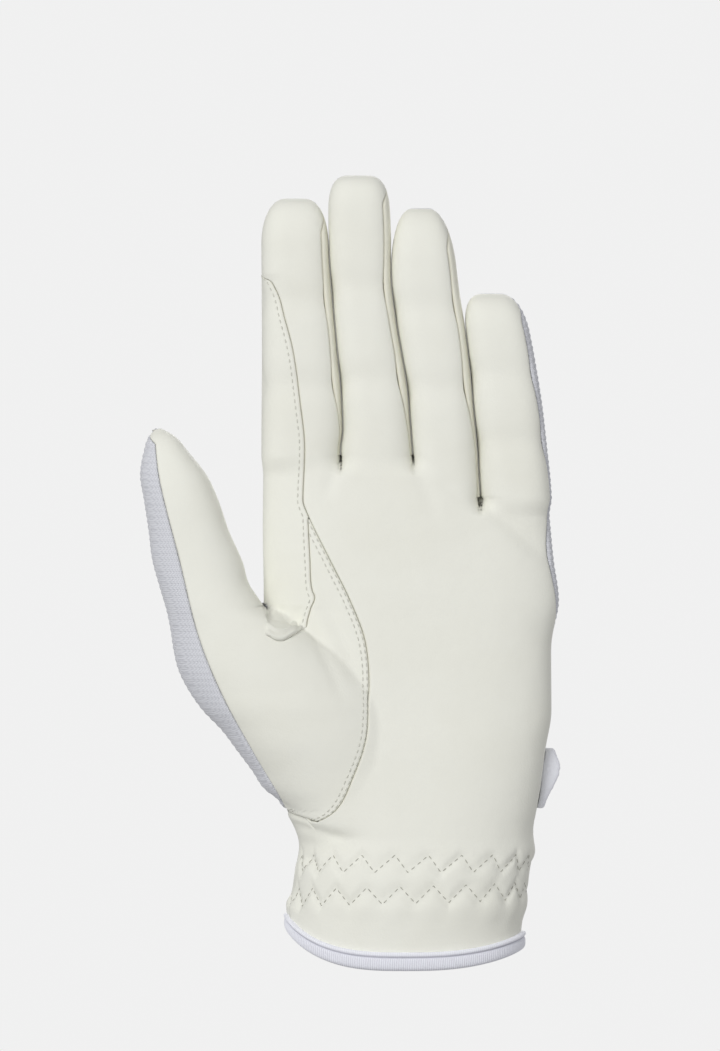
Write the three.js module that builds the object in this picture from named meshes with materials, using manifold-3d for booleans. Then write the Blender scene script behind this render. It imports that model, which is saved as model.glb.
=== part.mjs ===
// Riding glove for the left hand, shown filled as if worn, fingers up and palm towards -Y.
// Millimetres. +Z runs from the cuff opening to the fingertips, +X to the little finger side.
// The origin is the middle of the cuff opening, where the wrist leaves the glove.
import * as THREE from 'three';
import Module from 'manifold-3d';

const wasm = await Module();
wasm.setup();

// Driving sizes of the hand that fills the glove
const palmLength = 150;
const palmWidth = 88;
const palmDepth = 30;
const fingerLength = 83;
const fingerDepth = 20.6;
const fingerBend = 6;
const thumbDepth = 22;
const fingerSquare = 3.1;
const thumbSquare = 2.4;

// Materials and seams
const skinThickness = 1.2;
const seamGap = 0.3;
const slotGap = 0.6;
const fourchetteShow = 1.9;
const knitShow = 1.7;
const fourchetteEnd = 0.46;

// Cuff and rim
const shirringHeight = 24;
const shirringDepth = 1.0;
const puffCount = 16;
const rimDip = 4.4;
const bindingHeight = 5.4;
const bindingThickness = 0.9;
const bindingLip = 0.5;

// Closure strap over the back of the wrist
const strapWidth = 18;
const strapThickness = 1.8;
const strapHeight = 53;
const strapStandOff = 3.4;
const strapEdge = 2.6;
const strapSeat = 0.55;

// Fineness of the faceted skin
const handSegments = 48;
const fingerSegments = 18;
const thumbSegments = 24;
const seamStep = 0.04;

// Sections of the palm and cuff. height is a share of palmLength, left and right are shares of
// palmWidth, front and back are shares of palmDepth measured from the middle plane of the hand.
const handRows = [
  { height: -0.04, left: -0.405, right: 0.385, front: 0.74, back: 0.80, full: 2.3 },
  { height: 0.05, left: -0.408, right: 0.388, front: 0.75, back: 0.81, full: 2.3 },
  { height: 0.09, left: -0.399, right: 0.402, front: 0.76, back: 0.80, full: 2.3 },
  { height: 0.17, left: -0.386, right: 0.414, front: 0.74, back: 0.78, full: 2.3 },
  { height: 0.21, left: -0.368, right: 0.430, front: 0.70, back: 0.74, full: 2.3 },
  { height: 0.25, left: -0.384, right: 0.427, front: 0.68, back: 0.72, full: 2.4 },
  { height: 0.29, left: -0.420, right: 0.438, front: 0.66, back: 0.69, full: 2.5 },
  { height: 0.33, left: -0.462, right: 0.450, front: 0.64, back: 0.66, full: 2.6 },
  { height: 0.41, left: -0.484, right: 0.468, front: 0.60, back: 0.60, full: 2.7 },
  { height: 0.49, left: -0.490, right: 0.489, front: 0.56, back: 0.55, full: 2.7 },
  { height: 0.61, left: -0.492, right: 0.488, front: 0.52, back: 0.51, full: 2.7 },
  { height: 0.73, left: -0.492, right: 0.514, front: 0.47, back: 0.47, full: 2.8 },
  { height: 0.85, left: -0.495, right: 0.496, front: 0.43, back: 0.44, full: 3.1 },
  { height: 0.93, left: -0.494, right: 0.486, front: 0.395, back: 0.405, full: 3.6 },
  { height: 1.00, left: -0.488, right: 0.470, front: 0.335, back: 0.345, full: 4.2 },
];

// The top of the palm drops towards the little finger, whose crotch lies lower.
const littleDrop = 13;
const dropStart = 0.06;
const dropEnd = 0.22;

// Sections of the thumb and the mound at its root. height is a share of palmLength, left and
// right are shares of palmWidth, middle and half are shares of thumbDepth.
const thumbRows = [
  { height: 0.290, left: -0.380, right: -0.15, middle: -0.15, half: 0.34 },
  { height: 0.330, left: -0.484, right: -0.12, middle: -0.17, half: 0.54 },
  { height: 0.370, left: -0.532, right: -0.10, middle: -0.19, half: 0.66 },
  { height: 0.410, left: -0.583, right: -0.09, middle: -0.22, half: 0.73 },
  { height: 0.450, left: -0.634, right: -0.09, middle: -0.25, half: 0.75 },
  { height: 0.490, left: -0.699, right: -0.10, middle: -0.28, half: 0.75 },
  { height: 0.530, left: -0.747, right: -0.135, middle: -0.30, half: 0.73 },
  { height: 0.570, left: -0.781, right: -0.19, middle: -0.32, half: 0.71 },
  { height: 0.610, left: -0.798, right: -0.26, middle: -0.34, half: 0.68 },
  { height: 0.650, left: -0.808, right: -0.35, middle: -0.36, half: 0.64 },
  { height: 0.690, left: -0.822, right: -0.45, middle: -0.38, half: 0.60 },
  { height: 0.730, left: -0.842, right: -0.528, middle: -0.40, half: 0.56 },
  { height: 0.790, left: -0.870, right: -0.565, middle: -0.43, half: 0.52 },
  { height: 0.850, left: -0.883, right: -0.610, middle: -0.46, half: 0.50 },
  { height: 0.910, left: -0.910, right: -0.645, middle: -0.49, half: 0.48 },
  { height: 0.960, left: -0.911, right: -0.685, middle: -0.51, half: 0.43 },
  { height: 1.005, left: -0.899, right: -0.745, middle: -0.53, half: 0.33 },
  { height: 1.038, left: -0.880, right: -0.795, middle: -0.54, half: 0.18 },
  { height: 1.050, left: -0.862, right: -0.830, middle: -0.545, half: 0.06 },
];

// Lines between neighbouring fingers, with x as a share of palmWidth and height as a share of
// palmLength below the first crotch and of fingerLength above it.
const slotLines = {
  radial: [
    { rise: -0.25, x: -0.497 }, { rise: 0.02, x: -0.500 }, { rise: 0.35, x: -0.498 },
    { rise: 0.65, x: -0.499 }, { rise: 0.80, x: -0.500 }, { rise: 1.00, x: -0.494 },
  ],
  indexMiddle: [
    { rise: -0.25, x: -0.222 }, { rise: 0.02, x: -0.230 }, { rise: 0.09, x: -0.222 },
    { rise: 0.40, x: -0.243 }, { rise: 0.67, x: -0.266 }, { rise: 1.00, x: -0.274 },
  ],
  middleRing: [
    { rise: -0.25, x: 0.030 }, { rise: 0.02, x: 0.015 }, { rise: 0.25, x: -0.004 },
    { rise: 0.60, x: -0.055 }, { rise: 0.80, x: -0.058 }, { rise: 1.00, x: -0.066 },
  ],
  ringLittle: [
    { rise: -0.25, x: 0.247 }, { rise: -0.10, x: 0.244 }, { rise: 0.20, x: 0.221 },
    { rise: 0.45, x: 0.196 }, { rise: 0.60, x: 0.174 }, { rise: 1.00, x: 0.135 },
  ],
  ulnar: [
    { rise: -0.25, x: 0.494 }, { rise: -0.10, x: 0.487 }, { rise: 0.00, x: 0.477 },
    { rise: 0.20, x: 0.455 }, { rise: 0.36, x: 0.430 }, { rise: 0.60, x: 0.385 },
  ],
};

// Fingers. tip is the share of fingerLength reached above the first crotch, crotch the share
// at its root, round the length of the rounded tip as a share of fingerDepth.
const fingers = [
  { name: 'index', left: 'radial', right: 'indexMiddle', tip: 0.925, crotch: 0.0, round: 0.72, full: 2.3 },
  { name: 'middle', left: 'indexMiddle', right: 'middleRing', tip: 1.008, crotch: 0.0, round: 0.60, full: 2.8 },
  { name: 'ring', left: 'middleRing', right: 'ringLittle', tip: 0.889, crotch: 0.0, round: 0.84, full: 2.1 },
  { name: 'little', left: 'ringLittle', right: 'ulnar', tip: 0.582, crotch: -0.15, round: 0.62, full: 2.4 },
];

// Seams seen from the front, x as a share of palmWidth against height as a share of palmLength.
const thumbCurve = [
  { height: 0.25, x: -0.33 }, { height: 0.266, x: -0.307 }, { height: 0.35, x: -0.198 },
  { height: 0.43, x: -0.143 }, { height: 0.51, x: -0.133 }, { height: 0.63, x: -0.147 },
  { height: 0.71, x: -0.198 }, { height: 0.79, x: -0.266 }, { height: 0.88, x: -0.341 },
  { height: 0.91, x: -0.358 }, { height: 1.01, x: -0.351 }, { height: 1.11, x: -0.368 },
  { height: 1.21, x: -0.392 }, { height: 1.27, x: -0.419 }, { height: 1.33, x: -0.453 },
  { height: 1.36, x: -0.492 }, { height: 1.38, x: -0.560 }, { height: 1.60, x: -0.600 },
];
const knitLine = [
  { height: 0.30, x: -0.41 }, { height: 0.31, x: -0.419 }, { height: 0.51, x: -0.624 },
  { height: 0.63, x: -0.709 }, { height: 0.79, x: -0.777 }, { height: 0.95, x: -0.845 },
  { height: 1.01, x: -0.858 }, { height: 1.10, x: -0.868 },
];
const lobeRight = [
  { height: 0.622, x: -0.352 }, { height: 0.65, x: -0.338 }, { height: 0.69, x: -0.334 },
  { height: 0.716, x: -0.314 }, { height: 0.73, x: -0.327 }, { height: 0.79, x: -0.334 },
  { height: 0.88, x: -0.341 },
];
const lobeLeft = [
  { height: 0.622, x: -0.41 }, { height: 0.632, x: -0.436 }, { height: 0.66, x: -0.470 },
  { height: 0.694, x: -0.511 }, { height: 0.72, x: -0.513 },
];
const lobeBottom = 0.626;
const webHeight = 0.694;
const tongueTop = 0.872;
const sideTop = 1.352;
const thumbPanelFoot = 0.266;
const thumbPanelHeel = 0.31;

// Soft folds pressed into the front, from one point to another, in shares of palmWidth and
// palmLength, with their half width and depth as shares of palmDepth.
const folds = [
  { x0: 0.06, z0: 0.44, x1: 0.10, z1: 0.72, width: 0.75, depth: 0.085 },
  { x0: 0.28, z0: 0.90, x1: 0.47, z1: 0.80, width: 0.10, depth: 0.040 },
  { x0: -0.23, z0: 1.00, x1: -0.28, z1: 0.92, width: 0.12, depth: 0.060 },
  { x0: 0.02, z0: 0.99, x1: 0.09, z1: 0.88, width: 0.12, depth: 0.055 },
  { x0: 0.24, z0: 0.93, x1: 0.28, z1: 0.89, width: 0.10, depth: 0.060 },
  { x0: -0.29, z0: 0.72, x1: -0.17, z1: 0.56, width: 0.10, depth: 0.035 },
  { x0: -0.33, z0: 0.66, x1: -0.22, z1: 0.52, width: 0.09, depth: 0.030 },
  { x0: -0.38, z0: 0.22, x1: -0.16, z1: 0.235, width: 0.10, depth: 0.050 },
];
const fingerCreases = [
  { rise: 0.27, depth: 0.035 },
  { rise: 0.60, depth: 0.030 },
];

// Value of a table column at a place along its key, by a smooth curve through its rows
function along(rows, key, column, place) {
  if (place <= rows[0][key]) return rows[0][column];
  const last = rows.length - 1;
  if (place >= rows[last][key]) return rows[last][column];
  let i = 0;
  while (place > rows[i + 1][key]) i += 1;
  const slope = (a, b) => (rows[b][column] - rows[a][column]) / (rows[b][key] - rows[a][key]);
  const span = rows[i + 1][key] - rows[i][key];
  const t = (place - rows[i][key]) / span;
  const here = slope(i, i + 1);
  const before = i > 0 ? slope(i - 1, i) : here;
  const after = i + 2 <= last ? slope(i + 1, i + 2) : here;
  const start = before * here <= 0 ? 0 : (before + here) / 2;
  const end = after * here <= 0 ? 0 : (after + here) / 2;
  const h00 = (1 + 2 * t) * (1 - t) * (1 - t);
  const h10 = t * (1 - t) * (1 - t);
  const h01 = t * t * (3 - 2 * t);
  const h11 = t * t * (t - 1);
  return h00 * rows[i][column] + h10 * span * start + h01 * rows[i + 1][column] + h11 * span * end;
}

const smooth = (a, b, x) => {
  const t = Math.min(1, Math.max(0, (x - a) / (b - a)));
  return t * t * (3 - 2 * t);
};
const mix = (a, b, t) => a + (b - a) * t;

// Point on a rounded square of half width 1: power 2 is a circle, higher powers are squarer
function rounded(turn, power) {
  const c = Math.cos(turn);
  const s = Math.sin(turn);
  const reach = (Math.abs(c) ** power + Math.abs(s) ** power) ** (-1 / power);
  return [c * reach, s * reach];
}

// Share of the way from one point to another, and how far off that line a place lies
function offLine(fold, x, z) {
  const ax = fold.x0 * palmWidth;
  const az = fold.z0 * palmLength;
  const dx = fold.x1 * palmWidth - ax;
  const dz = fold.z1 * palmLength - az;
  const t = Math.min(1, Math.max(0, ((x - ax) * dx + (z - az) * dz) / (dx * dx + dz * dz)));
  return Math.hypot(x - ax - t * dx, z - az - t * dz);
}

// How far the folds press the front surface in at one place
function foldDepth(x, z) {
  let depth = 0;
  for (const fold of folds) {
    const far = offLine(fold, x, z) / (fold.width * palmDepth);
    depth += fold.depth * palmDepth * Math.exp(-far * far);
  }
  return depth;
}

// The shirred cuff puffs out between its zigzag rows of stitches
function puff(turn, z) {
  const band = smooth(1.5 * bindingHeight, 1.2 * bindingHeight + shirringHeight / 4, z)
    * (1 - smooth(bindingHeight + 0.9 * shirringHeight, bindingHeight + 1.15 * shirringHeight, z));
  const wave = Math.cos(puffCount * turn + (Math.PI * 2 * z) / shirringHeight);
  return shirringDepth * band * (wave - 0.2);
}

// The rim dips at the front and rises at the sides
const rimHeight = (turn) => -rimDip * Math.sin(turn) * smooth(-0.3, 0.6, Math.sin(turn)) + rimDip * 0.55 * Math.cos(2 * turn);

// A point on the hand's surface, offset outwards by a distance, at a share of the palm length
function handPoint(share, turn, offset, lift) {
  const full = along(handRows, 'height', 'full', share);
  const left = along(handRows, 'height', 'left', share) * palmWidth - offset;
  const right = along(handRows, 'height', 'right', share) * palmWidth + offset;
  const front = along(handRows, 'height', 'front', share) * palmDepth + offset;
  const back = along(handRows, 'height', 'back', share) * palmDepth + offset;
  const [c, s] = rounded(turn, full);
  const x = (left + right) / 2 + ((right - left) / 2) * c;
  const drop = littleDrop * smooth(dropStart, dropEnd, x / palmWidth) * smooth(0.6, 1, share);
  const rim = rimHeight(turn) * (1 - smooth(0, 0.24, share));
  const z = share * palmLength - drop + rim + lift;
  const pressed = foldDepth(x, z) * smooth(0.05, 0.5, s);
  const swell = offset >= 0 ? puff(turn, share * palmLength) : 0;
  const y = s > 0 ? -(front + swell) * s + pressed : -(back + swell) * s;
  return [x + swell * c, y, z];
}

// Middle plane of the fingers, which bend slightly forwards towards their tips
const fingerMiddle = (z) => -0.4 - fingerBend * (Math.max(0, z - 0.93 * palmLength) / fingerLength) ** 1.4;
const riseOf = (z) => (z - palmLength) / fingerLength;
const slotX = (line, z) => along(slotLines[line], 'rise', 'x', riseOf(z)) * palmWidth;

// A point on a finger's surface at a height, offset outwards by a distance
function fingerPoint(finger, z, turn, offset) {
  const tip = palmLength + finger.tip * fingerLength;
  const crotch = palmLength + finger.crotch * fingerLength;
  const root = 1.4 * smooth(crotch + 2, crotch - 8, z);
  const sunk = 0.16 * fingerDepth * smooth(crotch + 0.04 * fingerLength, crotch - 0.16 * fingerLength, z);
  const left = slotX(finger.left, z) + slotGap / 2 + root - offset;
  const right = slotX(finger.right, z) - slotGap / 2 - root + offset;
  const reach = Math.min(1, Math.max(0, (tip + offset - z) / (finger.round * fingerDepth)));
  const close = (1 - (1 - reach) ** finger.full) ** (1 / finger.full);
  const depth = (fingerDepth / 2) * mix(1.02, 0.80, smooth(0, 1, riseOf(z))) - sunk + offset;
  const [c, s] = rounded(turn, fingerSquare);
  const x = (left + right) / 2 + ((right - left) / 2) * c * mix(0.25, 1, close);
  let crease = 0;
  for (const line of fingerCreases) {
    const far = (riseOf(z) - line.rise * (finger.tip - finger.crotch) - finger.crotch) / 0.055;
    crease += line.depth * fingerDepth * Math.exp(-far * far);
  }
  const pressed = s > 0 ? crease * smooth(0.1, 0.6, s) + 0.5 * foldDepth(x, z) * smooth(0.05, 0.5, s) : 0;
  const y = fingerMiddle(z) - depth * s * Math.max(0.06, close) + pressed * close;
  return [x, y, z];
}

// A point on the thumb or the mound at its root, at a share of the palm length
function thumbPoint(share, turn, offset) {
  const left = along(thumbRows, 'height', 'left', share) * palmWidth - offset;
  const right = along(thumbRows, 'height', 'right', share) * palmWidth + offset;
  const middle = along(thumbRows, 'height', 'middle', share) * thumbDepth;
  const half = along(thumbRows, 'height', 'half', share) * thumbDepth + offset;
  const [c, s] = rounded(turn, thumbSquare);
  const x = (left + right) / 2 + ((right - left) / 2) * c;
  const z = share * palmLength;
  const pressed = foldDepth(x, z) * smooth(0.05, 0.5, s);
  return [x, middle - Math.max(0.4, half) * s + pressed, z];
}

// Closed mesh through rings of an even number of points. The lower end closes by a fan to its
// middle, the upper end by bands that run from one half of the ring across to the other.
function loft(rings) {
  const count = rings[0].length;
  const points = rings.flat();
  const triangles = [];
  for (let r = 0; r + 1 < rings.length; r += 1) {
    for (let i = 0; i < count; i += 1) {
      const a = r * count + i;
      const b = r * count + ((i + 1) % count);
      triangles.push([a, a + count, b], [b, a + count, b + count]);
    }
  }
  const middle = [0, 1, 2].map((k) => rings[0].reduce((sum, point) => sum + point[k], 0) / count);
  const centre = points.push(middle) - 1;
  for (let i = 0; i < count; i += 1) triangles.push([i, (i + 1) % count, centre]);
  for (let i = 0; i + 1 < count / 2; i += 1) {
    const top = (rings.length - 1) * count;
    const [a, b, c, d] = [i, i + 1, count - 1 - i, count - 2 - i].map((k) => top + k);
    triangles.push([a, c, b], [b, c, d]);
  }
  return solid(points, triangles);
}

// Solid of a closed surface, turned so that its faces point outwards
function solid(points, triangles) {
  let volume = 0;
  for (const [i, j, k] of triangles) {
    const [a, b, c] = [points[i], points[j], points[k]];
    volume += a[0] * (b[1] * c[2] - b[2] * c[1]) + a[1] * (b[2] * c[0] - b[0] * c[2]) + a[2] * (b[0] * c[1] - b[1] * c[0]);
  }
  const faces = volume < 0 ? triangles.map(([i, j, k]) => [i, k, j]) : triangles;
  const mesh = new wasm.Mesh({
    numProp: 3,
    vertProperties: new Float32Array(points.flat()),
    triVerts: new Uint32Array(faces.flat()),
  });
  return new wasm.Manifold(mesh);
}

const evenly = (count) => 2 * Math.round(count / 2);
const turns = (count) => Array.from({ length: count }, (_, i) => (2 * Math.PI * (i + 0.5)) / count);
const steps = (from, to, count) => Array.from({ length: count + 1 }, (_, i) => mix(from, to, i / count));

// The hand, fingers and thumb, offset outwards by a distance, as one body
function fullHand(offset, fine) {
  const segments = handSegments;
  const inside = offset < 0;
  const cuffRows = inside ? [-0.12, 0, 0.035, 0.12, 0.24] : steps(0, 0.24, 9);
  const palmRows = inside ? [0.33, 0.5, 0.72, 0.93] : steps(0.285, 0.96, 9);
  const shares = [...cuffRows, ...palmRows, 1];
  const rows = shares.map((share) => {
    const lift = share === 1 ? Math.min(0, offset) : 0;
    return turns(segments).map((turn) => handPoint(share, turn, offset, lift));
  });
  let body = loft(rows);
  for (const finger of fingers) {
    const tip = palmLength + finger.tip * fingerLength + offset;
    const start = palmLength + finger.crotch * fingerLength - 0.1 * palmLength;
    const shaft = tip - 0.55 * finger.round * fingerDepth;
    const cap = [0.42, 0.20, 0.06, 0.003].map((share) => tip - share * finger.round * fingerDepth);
    const heights = [...steps(start, shaft, inside ? 3 : 7), ...(inside ? [cap[0], cap[1], cap[3]] : cap)];
    const ring = (z) => turns(evenly(fingerSegments * fine)).map((turn) => fingerPoint(finger, z, turn, offset));
    body = body.add(loft(heights.map(ring)));
  }
  const last = thumbRows[thumbRows.length - 1].height + Math.min(0, offset) / palmLength;
  const thumbShares = inside
    ? thumbRows.filter((row, i) => i % 3 === 1 && row.height < last - 0.012).map((row) => row.height)
    : thumbRows.filter((row, i) => i < 1 || i > 13 || i % 2 === 1).map((row) => row.height);
  if (inside) thumbShares.push(last - 0.008);
  const thumbRing = (share) => turns(evenly(thumbSegments * fine)).map((turn) => thumbPoint(share, turn, offset));
  return body.add(loft(thumbShares.map(thumbRing)));
}

const shell = fullHand(0, 1).subtract(fullHand(-skinThickness, 0.55));

// Region between two heights, bounded by four lines that follow the height. Every line bends
// only at whole steps of seamStep, so neighbouring regions share exactly the same bends.
function region(low, high, left, right, near, far) {
  const step = seamStep * palmLength;
  const at = (line, z) => {
    if (typeof line !== 'function') return line;
    const below = Math.floor(z / step) * step;
    return mix(line(below), line(below + step), (z - below) / step);
  };
  const first = Math.floor(low / step + 1e-6) + 1;
  const heights = [low];
  for (let i = first; i * step < high - 1e-6; i += 1) heights.push(i * step);
  heights.push(high);
  const rings = heights.map((z) => [
    [at(left, z), at(near, z), z],
    [at(right, z), at(near, z), z],
    [at(right, z), at(far, z), z],
    [at(left, z), at(far, z), z],
  ]);
  return loft(rings);
}

const join = (solids) => solids.reduce((sum, part) => sum.add(part));
const half = seamGap / 2;
const wide = 2 * palmWidth;
const deep = 3 * palmDepth;

const seam = (rows) => (z) => along(rows, 'height', 'x', z / palmLength) * palmWidth;
const shifted = (line, by) => (z) => line(z) + by;
const curve = seam(thumbCurve);
const knit = seam(knitLine);
const lobeFore = seam(lobeRight);
const lobeHind = seam(lobeLeft);

// Depths of the seams along the sides of the fingers, palm and thumb
const frontSeam = (z) => fingerMiddle(z) - 0.30 * fingerDepth;
const backSeam = (z) => fingerMiddle(z) + mix(0.42, 0.24, smooth(webHeight * palmLength, palmLength, z)) * fingerDepth;
const ulnarFar = (z) => mix(0.27 * palmDepth, frontSeam(z), smooth(0.70 * palmLength, 0.76 * palmLength, z));
const thumbFar = (z) => (along(thumbRows, 'height', 'middle', z / palmLength) + 0.18) * thumbDepth;
const thumbMiddle = (z) => along(thumbRows, 'height', 'middle', z / palmLength) * thumbDepth;
const handRight = (z) => along(handRows, 'height', 'right', z / palmLength) * palmWidth;
const ulnarEdge = (z) => {
  const edge = mix(handRight(z), slotX('ulnar', z) - slotGap / 2, smooth(0.80 * palmLength, 0.90 * palmLength, z));
  return edge - mix(-knitShow, knitShow, smooth(0.68 * palmLength, 0.76 * palmLength, z));
};
const cuffFar = palmDepth / 3;
const heelLine = (z) => mix(curve(z), knit(z), smooth(thumbPanelFoot * palmLength, thumbPanelHeel * palmLength, z));
const rootTop = palmLength + 0.02 * fingerLength;
const footZ = thumbPanelFoot * palmLength;
const heelZ = thumbPanelHeel * palmLength;
const webZ = webHeight * palmLength;
const lobeZ = lobeBottom * palmLength;
const tongueZ = tongueTop * palmLength;
const sideZ = sideTop * palmLength;
const webX = () => -0.512 * palmWidth;

const tipOf = (finger) => palmLength + finger.tip * fingerLength;
const endOf = (finger) => tipOf(finger) - fourchetteEnd * finger.round * fingerDepth;
const crotchOf = (finger) => palmLength + finger.crotch * fingerLength;
const over = 0.3 * fingerDepth;

// Front leather: cuff, palm and the fronts of the four fingers
const palmRegions = [
  region(-2 * bindingHeight, footZ - half, -wide, wide, -deep, cuffFar - half),
  region(footZ - 1.5, heelZ - half, -wide, shifted(heelLine, -half), -deep, cuffFar - half),
  region(footZ - 1.5, 0.93 * palmLength, shifted(curve, half), shifted(ulnarEdge, -half), -deep, (z) => ulnarFar(z) - half),
  region(0.92 * palmLength, rootTop - half, shifted(curve, half), shifted(ulnarEdge, -half), -deep, shifted(frontSeam, -half)),
];
for (const finger of fingers) {
  const leftLine = finger.name === 'index' ? shifted(curve, half) : (z) => slotX(finger.left, z);
  const rightLine = finger.name === 'little'
    ? shifted(ulnarEdge, -half)
    : (z) => slotX(finger.right, z) - fourchetteShow - half;
  palmRegions.push(region(crotchOf(finger) - 2, endOf(finger), leftLine, rightLine, -deep, shifted(frontSeam, -half)));
  const tipLeft = (z) => (finger.name === 'index' ? -wide : slotX(finger.left, z));
  const tipRight = (z) => (finger.name === 'little' ? ulnarEdge(z) - half : slotX(finger.right, z));
  const strip = (z) => mix(rightLine(z), tipRight(z), smooth(endOf(finger) - 1, endOf(finger) + 1, z));
  palmRegions.push(region(endOf(finger) - 0.5, endOf(finger) + 1, tipLeft, strip, -deep, shifted(frontSeam, -half)));
  palmRegions.push(region(endOf(finger) + 0.3, tipOf(finger) + over, tipLeft, tipRight, -deep, shifted(fingerMiddle, -half)));
}

// Knit back, which wraps round the thumb's and the little finger's outer edges
const backRegions = [
  region(-2 * bindingHeight, heelZ + half + 0.5, -wide, wide, cuffFar + half, deep),
  region(heelZ + half, webZ, -wide, 0, shifted(thumbFar, half), deep),
  region(heelZ + half, webZ + 1, -0.2 * palmWidth, wide, (z) => ulnarFar(z) + half, deep),
  region(webZ - 0.5, 1.0 * palmLength, -wide, webX, shifted(thumbFar, half), deep),
  region(webZ - 0.5, palmLength, (z) => webX(z) - 1, wide, shifted(backSeam, half), deep),
  region(heelZ + half, 1.1 * palmLength, -wide, shifted(knit, -half), -deep, deep),
  region(webZ - 0.5, 0.88 * palmLength, 0, wide, (z) => ulnarFar(z) + half, deep),
  region(0.68 * palmLength, tipOf(fingers[3]) + over, shifted(ulnarEdge, half), wide, -deep, deep),
  region(0.985 * palmLength, 1.1 * palmLength, -wide, webX, shifted(thumbFar, half), deep),
  region(1.0 * palmLength + half, 1.1 * palmLength, -wide, webX, shifted(thumbMiddle, half), deep),
];
for (const finger of fingers) {
  const low = (z) => (finger.name === 'index' ? -0.53 * palmWidth : slotX(finger.left, z));
  const high = (z) => (finger.name === 'little' ? wide : slotX(finger.right, z));
  backRegions.push(region(crotchOf(finger) - 2, tipOf(finger) + over, low, high, shifted(backSeam, half), deep));
  backRegions.push(region(endOf(finger) + 0.3, tipOf(finger) + over, low, high, shifted(fingerMiddle, half), deep));
}
backRegions.push(region(sideZ + half, endOf(fingers[0]), -0.53 * palmWidth, -0.42 * palmWidth, shifted(frontSeam, half), deep));

// Thumb leather, with the mound at its root and a tongue that runs up beside the palm seam
const thumbRegions = [
  region(footZ + half, heelZ + 1, shifted(heelLine, half), shifted(curve, -half), -deep, shifted(thumbFar, -half)),
  region(heelZ, lobeZ - half, shifted(knit, half), shifted(curve, -half), -deep, shifted(thumbFar, -half)),
  region(lobeZ - 1, webZ, shifted(knit, half), shifted(lobeHind, -half), -deep, shifted(thumbFar, -half)),
  region(lobeZ - 1, tongueZ, shifted(lobeFore, half), shifted(curve, -half), -deep, 0),
  region(webZ - 0.5, 1.0 * palmLength, shifted(knit, half), (z) => webX(z) - half, -deep, shifted(thumbFar, -half)),
  region(0.985 * palmLength, 1.1 * palmLength, shifted(knit, half), (z) => webX(z) - half, -deep, shifted(thumbMiddle, -half)),
];

// Leather on the outer side of the index finger, down to the fold of the thumb
const sideFront = (z) => (z < tongueZ ? lobeFore(z) : curve(z));
const sideRegions = [
  region(webZ + half, sideZ - half, (z) => webX(z) + half, shifted(sideFront, -half), -deep, shifted(backSeam, -half)),
  region(lobeZ + half, webZ + 0.5, shifted(lobeHind, half), shifted(lobeFore, -half), -deep, shifted(thumbFar, -half)),
];

// Strips that form the side walls between two fingers
function fourchetteRegions(hand, next) {
  const line = (z) => slotX(hand.right, z);
  const crotch = Math.min(crotchOf(hand), crotchOf(next)) - 2 * skinThickness;
  const middleOf = (finger) => (z) => (slotX(finger.left, z) + slotX(finger.right, z)) / 2;
  const near = shifted(frontSeam, half);
  const far = shifted(backSeam, -half);
  return [
    region(crotch, endOf(hand) - half, middleOf(hand), line, near, far),
    region(crotch, endOf(next) - half, shifted(line, -0.3 * slotGap), middleOf(next), near, far),
    region(rootTop + half, endOf(hand) - 1.5, shifted(line, half - fourchetteShow), line, -deep, (z) => frontSeam(z) + 1),
  ];
}

const cut = (regions) => shell.intersect(join(regions));

// Rim binding folded over the edge of the cuff, with a rolled lip along its upper edge
function bindingSolid() {
  const out = seamGap + bindingThickness;
  const inner = skinThickness + seamGap;
  const section = [
    [out, 0.62], [out + bindingLip, 0.72], [out + bindingLip, 0.92], [seamGap + 0.2, 1.0], [seamGap, 0.95],
    [seamGap, -0.05], [-inner, -0.05], [-inner, 0.9], [-inner - bindingThickness, 0.9],
    [-inner - bindingThickness, -0.16], [-skinThickness / 2, -0.26], [out, -0.16],
  ];
  const places = turns(handSegments);
  const points = [];
  const triangles = [];
  places.forEach((turn) => {
    for (const [offset, rise] of section) {
      const share = Math.max(0, rise * bindingHeight) / palmLength;
      const lift = Math.min(0, rise) * bindingHeight;
      const [x, y] = handPoint(share, turn, 0, 0);
      const [xo, yo, z] = handPoint(share, turn, offset >= 0 ? offset : 0, lift);
      const [xi, yi] = offset < 0 ? handPoint(share, turn, offset, 0) : [xo, yo];
      points.push(offset < 0 ? [xi, yi, z] : [x + (xo - x), y + (yo - y), z]);
    }
  });
  const count = section.length;
  for (let t = 0; t < places.length; t += 1) {
    for (let i = 0; i < count; i += 1) {
      const a = t * count + i;
      const b = t * count + ((i + 1) % count);
      const c = ((t + 1) % places.length) * count + i;
      const d = ((t + 1) % places.length) * count + ((i + 1) % count);
      triangles.push([a, b, c], [b, d, c]);
    }
  }
  return solid(points, triangles);
}

// Closure strap. Its free end stands off the wrist at the little finger side, its other end
// lies across the back. s runs along it from the free end, t from -1 to 1 across it.
const strapStart = -0.02;
const strapEnd = -2.25;
function strapPoint(s, t, offset) {
  const turn = mix(strapStart, strapEnd, s);
  const lift = strapStandOff * (1 - smooth(0, 0.16, s));
  const z = strapHeight + (t * strapWidth) / 2;
  const [x, y] = handPoint(z / palmLength, turn, strapSeat + offset + lift, 0);
  return [x, y, z];
}
const blunt = (s, length) => Math.sqrt(Math.max(0.04, 1 - Math.max(0, 1 - s / length) ** 2.4));
const strapInset = (2 * strapEdge) / strapWidth;
const innerStart = 0.045;
const innerEnd = 0.965;
const innerReach = (q) => (1 - strapInset) * blunt(q, 0.06);

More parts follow.
